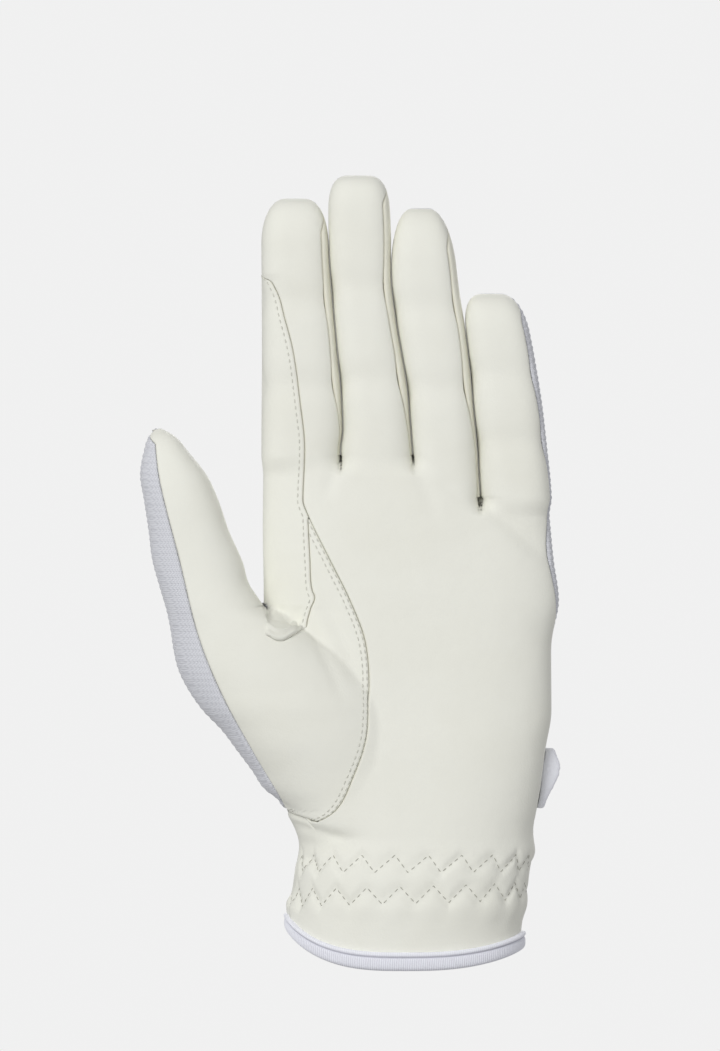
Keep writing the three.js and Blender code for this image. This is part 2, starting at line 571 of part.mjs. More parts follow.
function strapPlate() {
  const across = steps(-1, 1, 4);
  const clear = (2 * seamGap) / strapWidth;
  const ring = (q) => {
    const s = mix(innerStart, innerEnd, q);
    const reach = innerReach(q) - 1.2 * clear;
    const low = across.map((t) => strapPoint(s, t * reach, 0.35));
    const high = across.map((t) => strapPoint(s, -t * reach, strapThickness - 0.35));
    return [...low, ...high];
  };
  return loft([0.012, 0.03, ...steps(0.06, 0.985, 16)].map(ring));
}

function strapBinding() {
  const path = [];
  const places = [0, 0.012, 0.03, ...steps(0.06, 1, 17)];
  for (const q of places) path.push([q, 1]);
  for (const q of places.reverse()) path.push([q, -1]);
  const rings = path.map(([q, side]) => {
    const s = mix(innerStart, innerEnd, q);
    return [
      strapPoint(q, side * blunt(q, 0.07), 0),
      strapPoint(s, side * innerReach(q), 0),
      strapPoint(s, side * innerReach(q), strapThickness),
      strapPoint(q, side * blunt(q, 0.07), strapThickness),
    ];
  });
  const points = rings.flat();
  const triangles = [];
  for (let r = 0; r < rings.length; r += 1) {
    for (let i = 0; i < 4; i += 1) {
      const a = r * 4 + i;
      const b = r * 4 + ((i + 1) % 4);
      const c = ((r + 1) % rings.length) * 4 + i;
      const d = ((r + 1) % rings.length) * 4 + ((i + 1) % 4);
      triangles.push([a, c, b], [b, c, d]);
    }
  }
  return solid(points, triangles);
}

const group = new THREE.Group();
function place(name, body, color, roughness) {
  const mesh = body.getMesh();
  const stride = mesh.numProp;
  const positions = new Float32Array((mesh.vertProperties.length / stride) * 3);
  for (let i = 0; i < positions.length / 3; i += 1) {
    for (let k = 0; k < 3; k += 1) positions[3 * i + k] = mesh.vertProperties[stride * i + k];
  }
  const geometry = new THREE.BufferGeometry();
  geometry.setAttribute('position', new THREE.BufferAttribute(positions, 3));
  geometry.setIndex(Array.from(mesh.triVerts));
  const material = new THREE.MeshStandardMaterial({ color, roughness, metalness: 0 });
  const piece = new THREE.Mesh(geometry, material);
  piece.name = name;
  group.add(piece);
}

place('palm_panel', cut(palmRegions), 0xeaebe6, 0.55);
place('thumb_panel', cut(thumbRegions), 0xe8e8e4, 0.55);
place('index_side_panel', cut(sideRegions), 0xe7e7dd, 0.55);
place('fourchette_index_middle', cut(fourchetteRegions(fingers[0], fingers[1])), 0xd8d7ca, 0.6);
place('fourchette_middle_ring', cut(fourchetteRegions(fingers[1], fingers[2])), 0xd8d7ca, 0.6);
place('fourchette_ring_little', cut(fourchetteRegions(fingers[2], fingers[3])), 0xd3d1be, 0.6);
place('back_panel', cut(backRegions), 0xd5d6da, 0.85);
place('cuff_binding', bindingSolid(), 0xd3d4df, 0.8);
place('wrist_strap', strapPlate(), 0xc2c3c8, 0.8);
place('wrist_strap_binding', strapBinding(), 0xcdced9, 0.8);

export default group;
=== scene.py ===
"""Looks of a left-hand riding glove: leather panels, knit back, shirred cuff, bound rim and closure strap.

Every surface is a grid of points worked out from the sizes of the hand that fills the glove. Sizes are in
millimetres and become metres where a mesh is made. The palm faces -Y, the fingers point to +Z.
"""
import logging
import math
from dataclasses import dataclass, field
from enum import Enum

import bpy
import numpy as np
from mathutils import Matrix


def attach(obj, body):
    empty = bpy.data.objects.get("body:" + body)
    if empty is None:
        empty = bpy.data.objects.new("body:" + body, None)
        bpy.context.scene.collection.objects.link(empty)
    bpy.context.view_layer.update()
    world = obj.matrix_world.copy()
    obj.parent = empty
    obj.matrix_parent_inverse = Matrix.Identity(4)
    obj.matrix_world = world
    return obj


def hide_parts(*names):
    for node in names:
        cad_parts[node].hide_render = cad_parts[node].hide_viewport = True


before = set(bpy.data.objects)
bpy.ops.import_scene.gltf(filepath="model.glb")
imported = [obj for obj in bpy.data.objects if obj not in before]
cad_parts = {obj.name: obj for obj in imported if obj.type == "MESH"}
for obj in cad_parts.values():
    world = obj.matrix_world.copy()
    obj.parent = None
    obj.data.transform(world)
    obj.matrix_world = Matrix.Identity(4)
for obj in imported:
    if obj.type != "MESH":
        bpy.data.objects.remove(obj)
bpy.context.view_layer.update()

log = logging.getLogger("glove")
Array = np.ndarray
MM = 0.001
PI = math.pi


class Side(Enum):
    """Which half of the glove a point lies on; the value is the sign of the sine of its turn."""

    PALM = 1.0
    BACK = -1.0


@dataclass(frozen=True)
class Table:
    """Rows of shares with named columns, read by a smooth curve along the first column."""

    columns: tuple[str, ...]
    rows: tuple[tuple[float, ...], ...]

    def at(self, column: str, place: Array) -> Array:
        """Cubic Hermite curve through the rows, flat where the slope changes sign.

        Args:
            column: name of the column to read.
            place: where along the first column.

        Returns:
            The column's value at each place.
        """
        table = np.array(self.rows)
        keys = table[:, 0]
        values = table[:, self.columns.index(column)]
        slope = np.diff(values) / np.diff(keys)
        tangent = np.concatenate(([slope[0]], (slope[:-1] + slope[1:]) / 2, [slope[-1]]))
        tangent[1:-1][slope[:-1] * slope[1:] <= 0] = 0
        place = np.clip(place, keys[0], keys[-1])
        i = np.clip(np.searchsorted(keys, place, side="right") - 1, 0, len(keys) - 2)
        span = keys[i + 1] - keys[i]
        t = (place - keys[i]) / span
        rising = (1 + 2 * t) * (1 - t) ** 2 * values[i] + t**2 * (3 - 2 * t) * values[i + 1]
        return rising + span * (t * (1 - t) ** 2 * tangent[i] + t**2 * (t - 1) * tangent[i + 1])


HAND = Table(
    ("height", "left", "right", "front", "back", "full"),
    (
        (-0.04, -0.405, 0.385, 0.74, 0.80, 2.3),
        (0.05, -0.408, 0.388, 0.75, 0.81, 2.3),
        (0.09, -0.392, 0.400, 0.76, 0.80, 2.3),
        (0.17, -0.378, 0.412, 0.74, 0.78, 2.3),
        (0.21, -0.368, 0.430, 0.70, 0.74, 2.3),
        (0.25, -0.384, 0.427, 0.68, 0.72, 2.4),
        (0.29, -0.420, 0.438, 0.66, 0.69, 2.5),
        (0.33, -0.462, 0.450, 0.64, 0.66, 2.6),
        (0.41, -0.484, 0.468, 0.60, 0.60, 2.7),
        (0.49, -0.490, 0.489, 0.56, 0.55, 2.7),
        (0.61, -0.492, 0.488, 0.52, 0.51, 2.7),
        (0.73, -0.492, 0.514, 0.47, 0.47, 2.8),
        (0.85, -0.495, 0.496, 0.43, 0.44, 3.1),
        (0.93, -0.494, 0.486, 0.40, 0.41, 3.4),
        (1.00, -0.492, 0.476, 0.37, 0.37, 3.8),
    ),
)
THUMB = Table(
    ("height", "left", "right", "middle", "half"),
    (
        (0.290, -0.380, -0.15, -0.15, 0.34),
        (0.330, -0.484, -0.12, -0.17, 0.54),
        (0.370, -0.532, -0.10, -0.19, 0.66),
        (0.410, -0.583, -0.09, -0.22, 0.73),
        (0.450, -0.634, -0.09, -0.25, 0.75),
        (0.490, -0.699, -0.10, -0.28, 0.75),
        (0.530, -0.747, -0.135, -0.30, 0.73),
        (0.570, -0.781, -0.19, -0.32, 0.71),
        (0.610, -0.798, -0.26, -0.34, 0.68),
        (0.650, -0.808, -0.35, -0.36, 0.64),
        (0.690, -0.822, -0.45, -0.38, 0.60),
        (0.730, -0.842, -0.528, -0.40, 0.56),
        (0.790, -0.870, -0.565, -0.43, 0.52),
        (0.850, -0.883, -0.610, -0.46, 0.50),
        (0.910, -0.898, -0.645, -0.49, 0.48),
        (0.960, -0.911, -0.685, -0.51, 0.43),
        (1.005, -0.899, -0.745, -0.53, 0.33),
        (1.038, -0.880, -0.795, -0.54, 0.18),
        (1.050, -0.862, -0.830, -0.545, 0.06),
    ),
)
SLOTS = {
    "radial": Table(
        ("rise", "x"),
        ((-0.25, -0.497), (0.02, -0.500), (0.35, -0.498), (0.65, -0.499), (0.80, -0.500), (1.00, -0.494)),
    ),
    "index_middle": Table(
        ("rise", "x"),
        ((-0.25, -0.222), (0.02, -0.230), (0.09, -0.222), (0.40, -0.243), (0.67, -0.266), (1.00, -0.274)),
    ),
    "middle_ring": Table(
        ("rise", "x"),
        ((-0.25, 0.030), (0.02, 0.015), (0.25, -0.004), (0.60, -0.055), (0.80, -0.058), (1.00, -0.066)),
    ),
    "ring_little": Table(
        ("rise", "x"),
        ((-0.25, 0.247), (-0.10, 0.244), (0.20, 0.221), (0.45, 0.196), (0.60, 0.174), (1.00, 0.135)),
    ),
    "ulnar": Table(
        ("rise", "x"),
        ((-0.25, 0.494), (-0.10, 0.487), (0.00, 0.477), (0.20, 0.455), (0.36, 0.430), (0.60, 0.385)),
    ),
}
PALM_SEAM = Table(
    ("height", "x"),
    (
        (0.25, -0.34), (0.266, -0.315), (0.28, -0.270), (0.30, -0.235), (0.35, -0.192), (0.43, -0.143),
        (0.51, -0.133), (0.63, -0.147), (0.71, -0.198), (0.79, -0.266), (0.88, -0.341), (0.91, -0.358),
        (1.01, -0.351), (1.11, -0.368), (1.21, -0.392), (1.27, -0.419), (1.33, -0.453), (1.36, -0.492),
        (1.38, -0.560), (1.60, -0.600),
    ),
)
KNIT_SEAM = Table(
    ("height", "x"),
    (
        (0.294, -0.419), (0.31, -0.432), (0.40, -0.522), (0.51, -0.624), (0.63, -0.709), (0.79, -0.777),
        (0.95, -0.845), (1.01, -0.858), (1.05, -0.862),
    ),
)
TONGUE_SEAM = Table(
    ("height", "x"),
    ((0.62, -0.346), (0.656, -0.346), (0.69, -0.334), (0.716, -0.318), (0.73, -0.327), (0.79, -0.334), (0.88, -0.341)),
)
# Lower edge of the index side leather, from the web of the thumb to the tongue
WEB_SEAM = Table(
    ("x", "height"),
    (
        (-0.500, 0.695), (-0.488, 0.650), (-0.467, 0.636), (-0.450, 0.630), (-0.427, 0.629), (-0.410, 0.634),
        (-0.380, 0.644), (-0.366, 0.650), (-0.345, 0.657),
    ),
)
# How far round the little finger edge the palm leather ends, as an angle; below 0 is behind the edge
ULNAR_SEAM = Table(
    ("height", "turn"),
    (
        (0.0, -0.62), (0.40, -0.58), (0.56, -0.40), (0.64, -0.16), (0.70, 0.24), (0.76, 0.36), (0.95, 0.49),
        (1.10, 0.66), (1.60, 0.76),
    ),
)


@dataclass(frozen=True)
class Finger:
    """One finger: the slots it lies between, its tip and crotch as shares, and how square its tip is."""

    name: str
    left: str
    right: str
    tip: float
    crotch: float
    round: float
    full: float


FINGERS = (
    Finger("little", "ring_little", "ulnar", 0.582, -0.15, 0.62, 2.4),
    Finger("ring", "middle_ring", "ring_little", 0.889, 0.0, 0.84, 2.1),
    Finger("middle", "index_middle", "middle_ring", 1.008, 0.0, 0.60, 2.8),
    Finger("index", "radial", "index_middle", 0.925, 0.0, 0.72, 2.3),
)
LITTLE, RING, MIDDLE, INDEX = FINGERS


def smooth(a: float, b: float, x: Array) -> Array:
    """Smooth step from 0 at a to 1 at b: t * t * (3 - 2 * t)."""
    t = np.clip((np.asarray(x, float) - a) / (b - a), 0.0, 1.0)
    return t * t * (3 - 2 * t)


def mix(a: Array, b: Array, t: Array) -> Array:
    """Straight mix: a + (b - a) * t."""
    return a + (b - a) * t


def either(a: Array, b: Array, width: float) -> Array:
    """Larger of two fields with a soft change between them, width across."""
    near = np.clip(width - np.abs(a - b), 0, None) / width
    return np.maximum(a, b) + near**2 * width / 4


def rounded(turn: Array, power: Array) -> tuple[Array, Array]:
    """Point on a rounded square: (cos, sin) * (|cos|^power + |sin|^power)^(-1 / power).

    Args:
        turn: angle.
        power: squareness, 2 for a circle.

    Returns:
        The two coordinates.
    """
    c, s = np.cos(turn), np.sin(turn)
    reach = (np.abs(c) ** power + np.abs(s) ** power) ** (-1 / power)
    return c * reach, s * reach


def bulge(x: Array, left: Array, right: Array, power: Array) -> Array:
    """Height of a rounded square over x: (1 - |c|^power)^(1 / power), c from -1 at left to 1 at right."""
    c = np.clip((2 * x - left - right) / (right - left), -1.0, 1.0)
    return (1 - np.abs(c) ** power) ** (1 / power)


def turn_at(x: Array, side: Array, left: Array, right: Array, power: Array) -> Array:
    """Turn of the rounded square's point over x, from -pi / 2 to 3 * pi / 2.

    Args:
        x: place across.
        side: 1 on the palm's half, -1 on the back's.
        left: left edge.
        right: right edge.
        power: squareness.

    Returns:
        The turn, 0 at the right edge, pi / 2 at the palm, pi at the left edge.
    """
    c = np.clip((2 * x - left - right) / (right - left), -1.0, 1.0)
    s = side * (1 - np.abs(c) ** power) ** (1 / power)
    turn = np.arctan2(s, c)
    return np.where(turn < -PI / 2, turn + 2 * PI, turn)


def eased(count: int, ends: float = 0.6) -> Array:
    """Shares from 0 to 1 that lie closer together at both ends: t - ends * sin(2 pi t) / (2 pi)."""
    t = np.linspace(0, 1, count)
    return t - ends * np.sin(2 * PI * t) / (2 * PI)


def shares_of(values: Array) -> Array:
    """Shares from 0 to 1 of the way from the first value to the last."""
    return (values - values[0]) / (values[-1] - values[0])


def side_at(sine: Array) -> Array:
    """Value of the side: the palm's where the sine of the turn is 0 or more, else the back's."""
    return np.where(sine >= 0, Side.PALM.value, Side.BACK.value)


def facing(turn: Array) -> Array:
    """1 where the surface faces the palm's way, 0 round the edges and behind: a smooth step of sin(turn)."""
    return smooth(0.05, 0.5, np.sin(turn))


def unit(vectors: Array) -> Array:
    """Vectors divided by their lengths."""
    return vectors / np.maximum(np.linalg.norm(vectors, axis=-1, keepdims=True), 1e-12)


def run_of(points: Array) -> Array:
    """Length along a row of points from its first."""
    return np.concatenate([[0], np.cumsum(np.linalg.norm(np.diff(points, axis=0), axis=1))])


@dataclass(frozen=True)
class FilledHand:
    """The filled glove's outer surface, as functions of place. Lengths are in millimetres."""

    palm_length: float = 150.0
    palm_width: float = 88.0
    palm_depth: float = 30.0
    finger_length: float = 83.0
    finger_depth: float = 20.6
    finger_bend: float = 6.0
    thumb_depth: float = 22.0
    finger_square: float = 3.1
    thumb_square: float = 2.4
    slot_gap: float = 0.06
    little_drop: float = 12.6
    rim_dip: float = 3.0
    rim_rise: float = 8.8
    rim_tilt: float = 2.8
    web: float = 0.70
    root_start: float = 0.955
    thumb_start: float = 0.29
    blend: float = 7.0
    valley: float = 0.03

    def slot(self, name: str, z: Array) -> Array:
        """Place across of the line between two fingers at a height."""
        return SLOTS[name].at("x", (z - self.palm_length) / self.finger_length) * self.palm_width

    def finger_edges(self, finger: Finger, z: Array) -> tuple[Array, Array]:
        """Left and right edge of a finger at a height."""
        return self.slot(finger.left, z) + self.slot_gap / 2, self.slot(finger.right, z) - self.slot_gap / 2

    def finger_middle(self, z: Array) -> Array:
        """Middle plane of the fingers: -0.4 - bend * (rise / finger length)^1.4."""
        rise = np.maximum(0, z - 0.93 * self.palm_length) / self.finger_length
        return -0.4 - self.finger_bend * rise**1.4

    def finger_half(self, z: Array) -> Array:
        """Half depth of the fingers, which grow thinner towards their tips."""
        rise = (z - self.palm_length) / self.finger_length
        return self.finger_depth / 2 * mix(1.02, 0.80, smooth(0, 1, rise))

    def drop(self, x: Array) -> Array:
        """How much lower the palm's top lies towards the little finger."""
        return self.little_drop * smooth(0.03, 0.235, x / self.palm_width)

    def hand_edges(self, share: Array) -> tuple[Array, Array]:
        """Left and right edge of the palm without the thumb.

        Args:
            share: height as a share of the palm length.

        Returns:
            Left and right, in millimetres.
        """
        root = smooth(self.root_start, 1.0, share)
        top = self.palm_length
        left = mix(HAND.at("left", share) * self.palm_width, self.finger_edges(INDEX, top)[0], root)
        low = top - self.little_drop
        right = mix(HAND.at("right", share) * self.palm_width, self.finger_edges(LITTLE, low)[1], root)
        return left, right

    def thumb_edges(self, share: Array) -> tuple[Array, Array]:
        """Left and right edge of the thumb above the web.

        Args:
            share: height as a share of the palm length.

        Returns:
            Left and right, in millimetres.
        """
        left = THUMB.at("left", share) * self.palm_width
        web_x = self.web_x(self.web) - self.slot_gap / 2
        free = mix(web_x, -0.528 * self.palm_width, np.clip((share - self.web) / 0.03, 0, 1))
        return left, np.minimum(THUMB.at("right", share) * self.palm_width, free)

    def web_x(self, share: Array) -> Array:
        """Line of the valley that runs down from the thumb's web."""
        start = HAND.at("left", self.web) * self.palm_width - self.slot_gap / 2
        return start + 0.75 * self.palm_length * np.maximum(0, self.web - share)

    def outline(self, share: Array, thumb: bool) -> tuple[Array, Array]:
        """Left and right edge of the palm, with or without the thumb.

        Args:
            share: height as a share of the palm length.
            thumb: whether the thumb's mound belongs to it.

        Returns:
            Left and right, in millimetres.
        """
        left, right = self.hand_edges(share)
        if thumb:
            reach = THUMB.at("left", share) * self.palm_width
            left = np.where(share > self.thumb_start, np.minimum(left, reach), left)
        return left, right

    def depth(self, x: Array, share: Array, side: Array, z: Array) -> Array:
        """How far the surface stands out from the middle plane towards one side.

        The palm is half depth * bulge(x). Below the web, the thumb's mound is joined to it by a soft
        maximum, and parts from it along a valley. Towards the roots it becomes the fingers' own bulges.

        Args:
            x: place across.
            share: height as a share of the palm length.
            side: 1 on the palm's half, -1 on the back's.
            z: height.

        Returns:
            The depth, in millimetres.
        """
        outside = -99.0
        left, right = self.hand_edges(share)
        power = HAND.at("full", share)
        flat = np.where(side > 0, HAND.at("front", share), HAND.at("back", share)) * self.palm_depth
        slack = 1e-6
        hand = np.where((x >= left - slack) & (x <= right + slack), flat * bulge(x, left, right, power), outside)
        near, far = THUMB.at("left", share) * self.palm_width, THUMB.at("right", share) * self.palm_width
        middle = -side * THUMB.at("middle", share) * self.thumb_depth
        half = THUMB.at("half", share) * self.thumb_depth
        mound = middle + half * bulge(x, near, far, self.thumb_square)
        held = (share > self.thumb_start) & (share <= self.web)
        mound = np.where(held & (x >= near - slack) & (x <= far + slack), mound, outside)
        joined = either(hand, mound, self.blend)
        line = self.web_x(share)
        gap = self.slot_gap / 2
        thumb = middle + half * bulge(x, near, line - gap, self.thumb_square)
        palm = flat * bulge(x, line + gap, right, power)
        between = middle * np.clip((line + gap - x) / (2 * gap), 0, 1)
        apart = np.where(x < line - gap, thumb, np.where(x > line + gap, palm, between))
        parting = np.where(held, smooth(self.web - self.valley, self.web, share), 0)
        joined = mix(joined, apart, parting)
        reach = self.finger_half(z)
        each = [bulge(x, *self.finger_edges(finger, z), self.finger_square) for finger in FINGERS]
        fingers = -side * self.finger_middle(z) + reach * np.max(each, axis=0)
        return mix(joined, fingers, smooth(self.root_start, 1.0, share))

    def height(self, x: Array, share: Array, turn: Array) -> Array:
        """Height of a place: share * length, less the little finger's drop, with the rim higher at both edges.

        Args:
            x: place across.
            share: height as a share of the palm length.
            turn: angle round the ring, 0 at the little finger edge, pi / 2 at the palm.

        Returns:
            Height in millimetres.
        """
        c = np.cos(turn)
        rim = -self.rim_dip + (self.rim_rise - self.rim_tilt * c) * np.abs(c) ** 3
        drop = self.drop(x) * smooth(0.6, 1.0, share)
        return share * self.palm_length - drop + rim * (1 - smooth(0, 0.24, share))

    def ring(self, turn: Array, share: Array, thumb: bool = True) -> Array:
        """Points round the palm at a share of its length.

        Args:
            turn: angle round the ring, 0 at the little finger edge, pi / 2 at the palm.
            share: height as a share of the palm length.
            thumb: whether the ring runs round the thumb's mound too.

        Returns:
            Points, with x, y and z in the last axis.
        """
        turn, share = np.broadcast_arrays(turn, share)
        left, right = self.outline(share, thumb)
        c, s = rounded(turn, HAND.at("full", share))
        x = (left + right) / 2 + (right - left) / 2 * c
        side = side_at(s)
        z = self.height(x, share, turn)
        return np.stack([x, -side * self.depth(x, share, side, z), z], axis=-1)

    def ring_turn(self, x: Array, side: Array, share: Array, thumb: bool = True) -> Array:
        """Turn of the palm ring's point over x."""
        left, right = self.outline(share, thumb)
        return turn_at(x, side, left, right, HAND.at("full", share))

    def finger_point(self, finger: Finger, z: Array, turn: Array, close: Array) -> Array:
        """Points round a finger: x and y shrink with close towards the tip.

        Args:
            finger: which finger.
            z: height.
            turn: angle round the finger.
            close: 1 along the finger, 0 at its end.

        Returns:
            Points, with x, y and z in the last axis.
        """
        z, turn, close = np.broadcast_arrays(z, turn, close)
        left, right = self.finger_edges(finger, z)
        c, s = rounded(turn, self.finger_square)
        x = (left + right) / 2 + (right - left) / 2 * c * mix(0.25, 1, close)
        return np.stack([x, self.finger_middle(z) - self.finger_half(z) * s * close, z], axis=-1)

    def thumb_point(self, share: Array, turn: Array) -> Array:
        """Points round the thumb above the web.

        Args:
            share: height as a share of the palm length.
            turn: angle round the thumb.

        Returns:
            Points, with x, y and z in the last axis.
        """
        share, turn = np.broadcast_arrays(share, turn)
        left, right = self.thumb_edges(share)
        c, s = rounded(turn, self.thumb_square)
        x = (left + right) / 2 + (right - left) / 2 * c
        y = (THUMB.at("middle", share) - THUMB.at("half", share) * s) * self.thumb_depth
        return np.stack([x, y, share * self.palm_length], axis=-1)

    def tip(self, finger: Finger) -> float:
        """Height of a fingertip."""
        return self.palm_length + finger.tip * self.finger_length


@dataclass
class Patch:
    """A grid of surface points, rows upwards and columns round the glove, with its push along the normal."""

    points: Array
    push: Array = field(init=False)
    crease: Array = field(init=False)
    cloth: Array = field(init=False)
    placed: Array = field(init=False)

    def __post_init__(self) -> None:
        """Start with no push, and measure how far each point lies along its row and its column."""
        self.push = np.zeros(self.points.shape[:2])
        self.crease = np.zeros(self.points.shape[:2])
        self.cloth = np.stack([self.first(), self.bottom()], axis=-1)

    def first(self) -> Array:
        """Distance along each row from the first column."""
        step = np.linalg.norm(np.diff(self.points, axis=1), axis=-1)
        return np.pad(np.cumsum(step, axis=1), ((0, 0), (1, 0)))

    def bottom(self) -> Array:
        """Distance along each column from the first row."""
        step = np.linalg.norm(np.diff(self.points, axis=0), axis=-1)
        return np.pad(np.cumsum(step, axis=0), ((1, 0), (0, 0)))

    def last(self) -> Array:
        """Distance from the last column."""
        length = self.first()
        return length[:, -1:] - length

    def top(self) -> Array:
        """Distance from the last row."""
        length = self.bottom()
        return length[-1:] - length

    def roll(self, distance: Array, width: float = 0.9, depth: float = 0.42) -> None:
        """Turn an edge in: push by -depth * (1 - sqrt(1 - (1 - distance / width)^2)).

        Args:
            distance: distance of each point from the edge.
            width: how far the turned part reaches.
            depth: how far the edge itself goes in.
        """
        t = 1 - np.clip(distance / width, 0, 1)
        self.push -= depth * (1 - np.sqrt(np.clip(1 - t**2, 0, 1)))
        # crease marks the turned-in edge; the finishes paint shade there.
        self.crease = np.maximum(self.crease, t)

    def roll_sides(self, width: float = 0.9, depth: float = 0.42) -> None:
        """Turn in the first and the last column."""
        self.roll(self.first(), width, depth)
        self.roll(self.last(), width, depth)

    def sample(self, row: Array, column: Array) -> Array:
        """Points of the finished surface between its grid points, by a mix of the four round each place.

        Args:
            row: fractional rows.
            column: fractional columns.

        Returns:
            Points, one a row.
        """
        rows, columns = self.placed.shape[:2]
        r = np.clip(row, 0, rows - 1.001)
        c = np.clip(column, 0, columns - 1.001)
        i, j = r.astype(int), c.astype(int)
        u, v = (r - i)[:, None], (c - j)[:, None]
        low = mix(self.placed[i, j], self.placed[i, j + 1], v)
        return mix(low, mix(self.placed[i + 1, j], self.placed[i + 1, j + 1], v), u)

    def line_beside(self, distance: float) -> tuple[Array, Array]:
        """Rows and fractional columns of a line that runs at a distance beside the first column.

        Args:
            distance: distance from the first column, in millimetres.

        Returns:
            Rows and fractional columns.
        """
        gap = self.first()
        beyond = np.argmax(gap >= distance, axis=1).clip(1)
        rows = np.arange(len(gap))
        low, high = gap[rows, beyond - 1], gap[rows, beyond]
        return rows.astype(float), beyond - 1 + (distance - low) / np.maximum(high - low, 1e-9)


@dataclass
class Skin:
    """Patches sewn into one mesh: shared points are merged, then every point is pushed along its normal."""

    patches: list[Patch]

    def build(self) -> tuple[Array, Array, Array, Array]:
        """Merge, work out the normals and push.

        Returns:
            Points, quads, depth in a seam from 0 to 1 and cloth coordinates of the merged points.
        """
        points = np.concatenate([p.points.reshape(-1, 3) for p in self.patches])
        push = np.concatenate([p.push.ravel() for p in self.patches])
        crease = np.concatenate([p.crease.ravel() for p in self.patches])
        cloth = np.concatenate([p.cloth.reshape(-1, 2) for p in self.patches])
        _, first, inverse = np.unique(np.round(points * 100).astype(np.int64), axis=0,
                                      return_index=True, return_inverse=True)
        inverse = inverse.ravel()
        quads, start, grids = [], 0, []
        for patch in self.patches:
            rows, columns = patch.push.shape
            grid = inverse[start : start + rows * columns].reshape(rows, columns)
            start += rows * columns
            grids.append(grid)
            quads.append(np.stack([grid[:-1, :-1], grid[1:, :-1], grid[1:, 1:], grid[:-1, 1:]], -1).reshape(-1, 4))
        faces = np.concatenate(quads)
        merged = points[first]
        count = np.bincount(inverse)
        moved = np.bincount(inverse, weights=push) / count
        normals = vertex_normals(merged, faces)
        placed = merged + normals * moved[:, None]
        for patch, grid in zip(self.patches, grids):
            patch.placed = placed[grid]
        return placed, faces, np.bincount(inverse, weights=crease) / count, cloth[first]


def vertex_normals(points: Array, faces: Array) -> Array:
    """Normals of the points: the sum of the cross products of the diagonals of the quads round each.

    Args:
        points: places of the points.
        faces: four point numbers a face.

    Returns:
        A unit vector a point.
    """
    p = points[faces]
    face = np.cross(p[:, 2] - p[:, 0], p[:, 3] - p[:, 1])
    total = np.zeros((len(points), 3))
    for axis in range(3):
        for corner in range(4):
            total[:, axis] += np.bincount(faces[:, corner], weights=face[:, axis], minlength=len(points))
    return unit(total)


def make_object(name: str, points: Array, quads: Array, material: bpy.types.Material,
                attributes: dict[str, Array] | None = None) -> bpy.types.Object:
    """Mesh object from quads; a quad whose corners meet becomes a triangle.

    Args:
        name: the piece's name.
        points: places in millimetres.
        quads: four point numbers a face.
        material: its finish.
        attributes: numbers kept on each point.

    Returns:
        The new object, at the origin.
    """
    nxt = np.roll(quads, -1, axis=1)
    same = quads == nxt
    whole = quads[~same.any(axis=1)]
    pinched = quads[same.sum(axis=1) == 1]
    keep = ~(pinched == np.roll(pinched, -1, axis=1))
    triangles = pinched[keep].reshape(-1, 3)
    corners = np.concatenate([whole.ravel(), triangles.ravel()])
    sizes = np.concatenate([np.full(len(whole), 4), np.full(len(triangles), 3)])
    mesh = bpy.data.meshes.new(name)
    mesh.vertices.add(len(points))
    mesh.vertices.foreach_set("co", (points * MM).astype(np.float32).ravel())
    mesh.loops.add(len(corners))
    mesh.loops.foreach_set("vertex_index", corners.astype(np.int32))
    mesh.polygons.add(len(sizes))
    starts = np.concatenate([[0], np.cumsum(sizes)[:-1]])
    mesh.polygons.foreach_set("loop_start", starts.astype(np.int32))
    mesh.polygons.foreach_set("use_smooth", np.ones(len(sizes), bool))
    mesh.update(calc_edges=True)
    for key, values in (attributes or {}).items():
        kind = "FLOAT" if values.ndim == 1 else "FLOAT_VECTOR"
        layer = mesh.attributes.new(key, kind, "POINT")
        layer.data.foreach_set("value" if values.ndim == 1 else "vector", values.astype(np.float32).ravel())
    mesh.validate()
    mesh.materials.append(material)
    piece = bpy.data.objects.new(name, mesh)
    bpy.context.scene.collection.objects.link(piece)
    return piece


def finish_piece(piece: bpy.types.Object, nodes: tuple[str, ...] = (), wall: float = 0.0) -> None:
    """Give a piece its wall and body, and hide the nodes it stands for.

    Args:
        piece: the object.
        nodes: nodes it stands for.
        wall: thickness inwards in millimetres, 0 for none.
    """
    if wall:
        solid = piece.modifiers.new("wall", "SOLIDIFY")
        solid.thickness = wall * MM
        solid.offset = -1.0
    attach(piece, "root")
    if nodes:
        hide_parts(*nodes)
    log.info("%s: %d faces", piece.name, len(piece.data.polygons))


def sew_piece(name: str, patches: list[Patch], look: bpy.types.Material,
              nodes: tuple[str, ...] = (), wall: float = 0.0) -> None:
    """Sew patches into one piece and finish it.

    Args:
        name: the piece's name.
        patches: its patches.
        look: its finish.
        nodes: the nodes it stands for.
        wall: thickness of its wall in millimetres, or 0 for none.
    """
    placed, faces, crease, _ = Skin(patches).build()
    finish_piece(make_object(name, placed, faces, look, {"crease": crease}), nodes, wall)


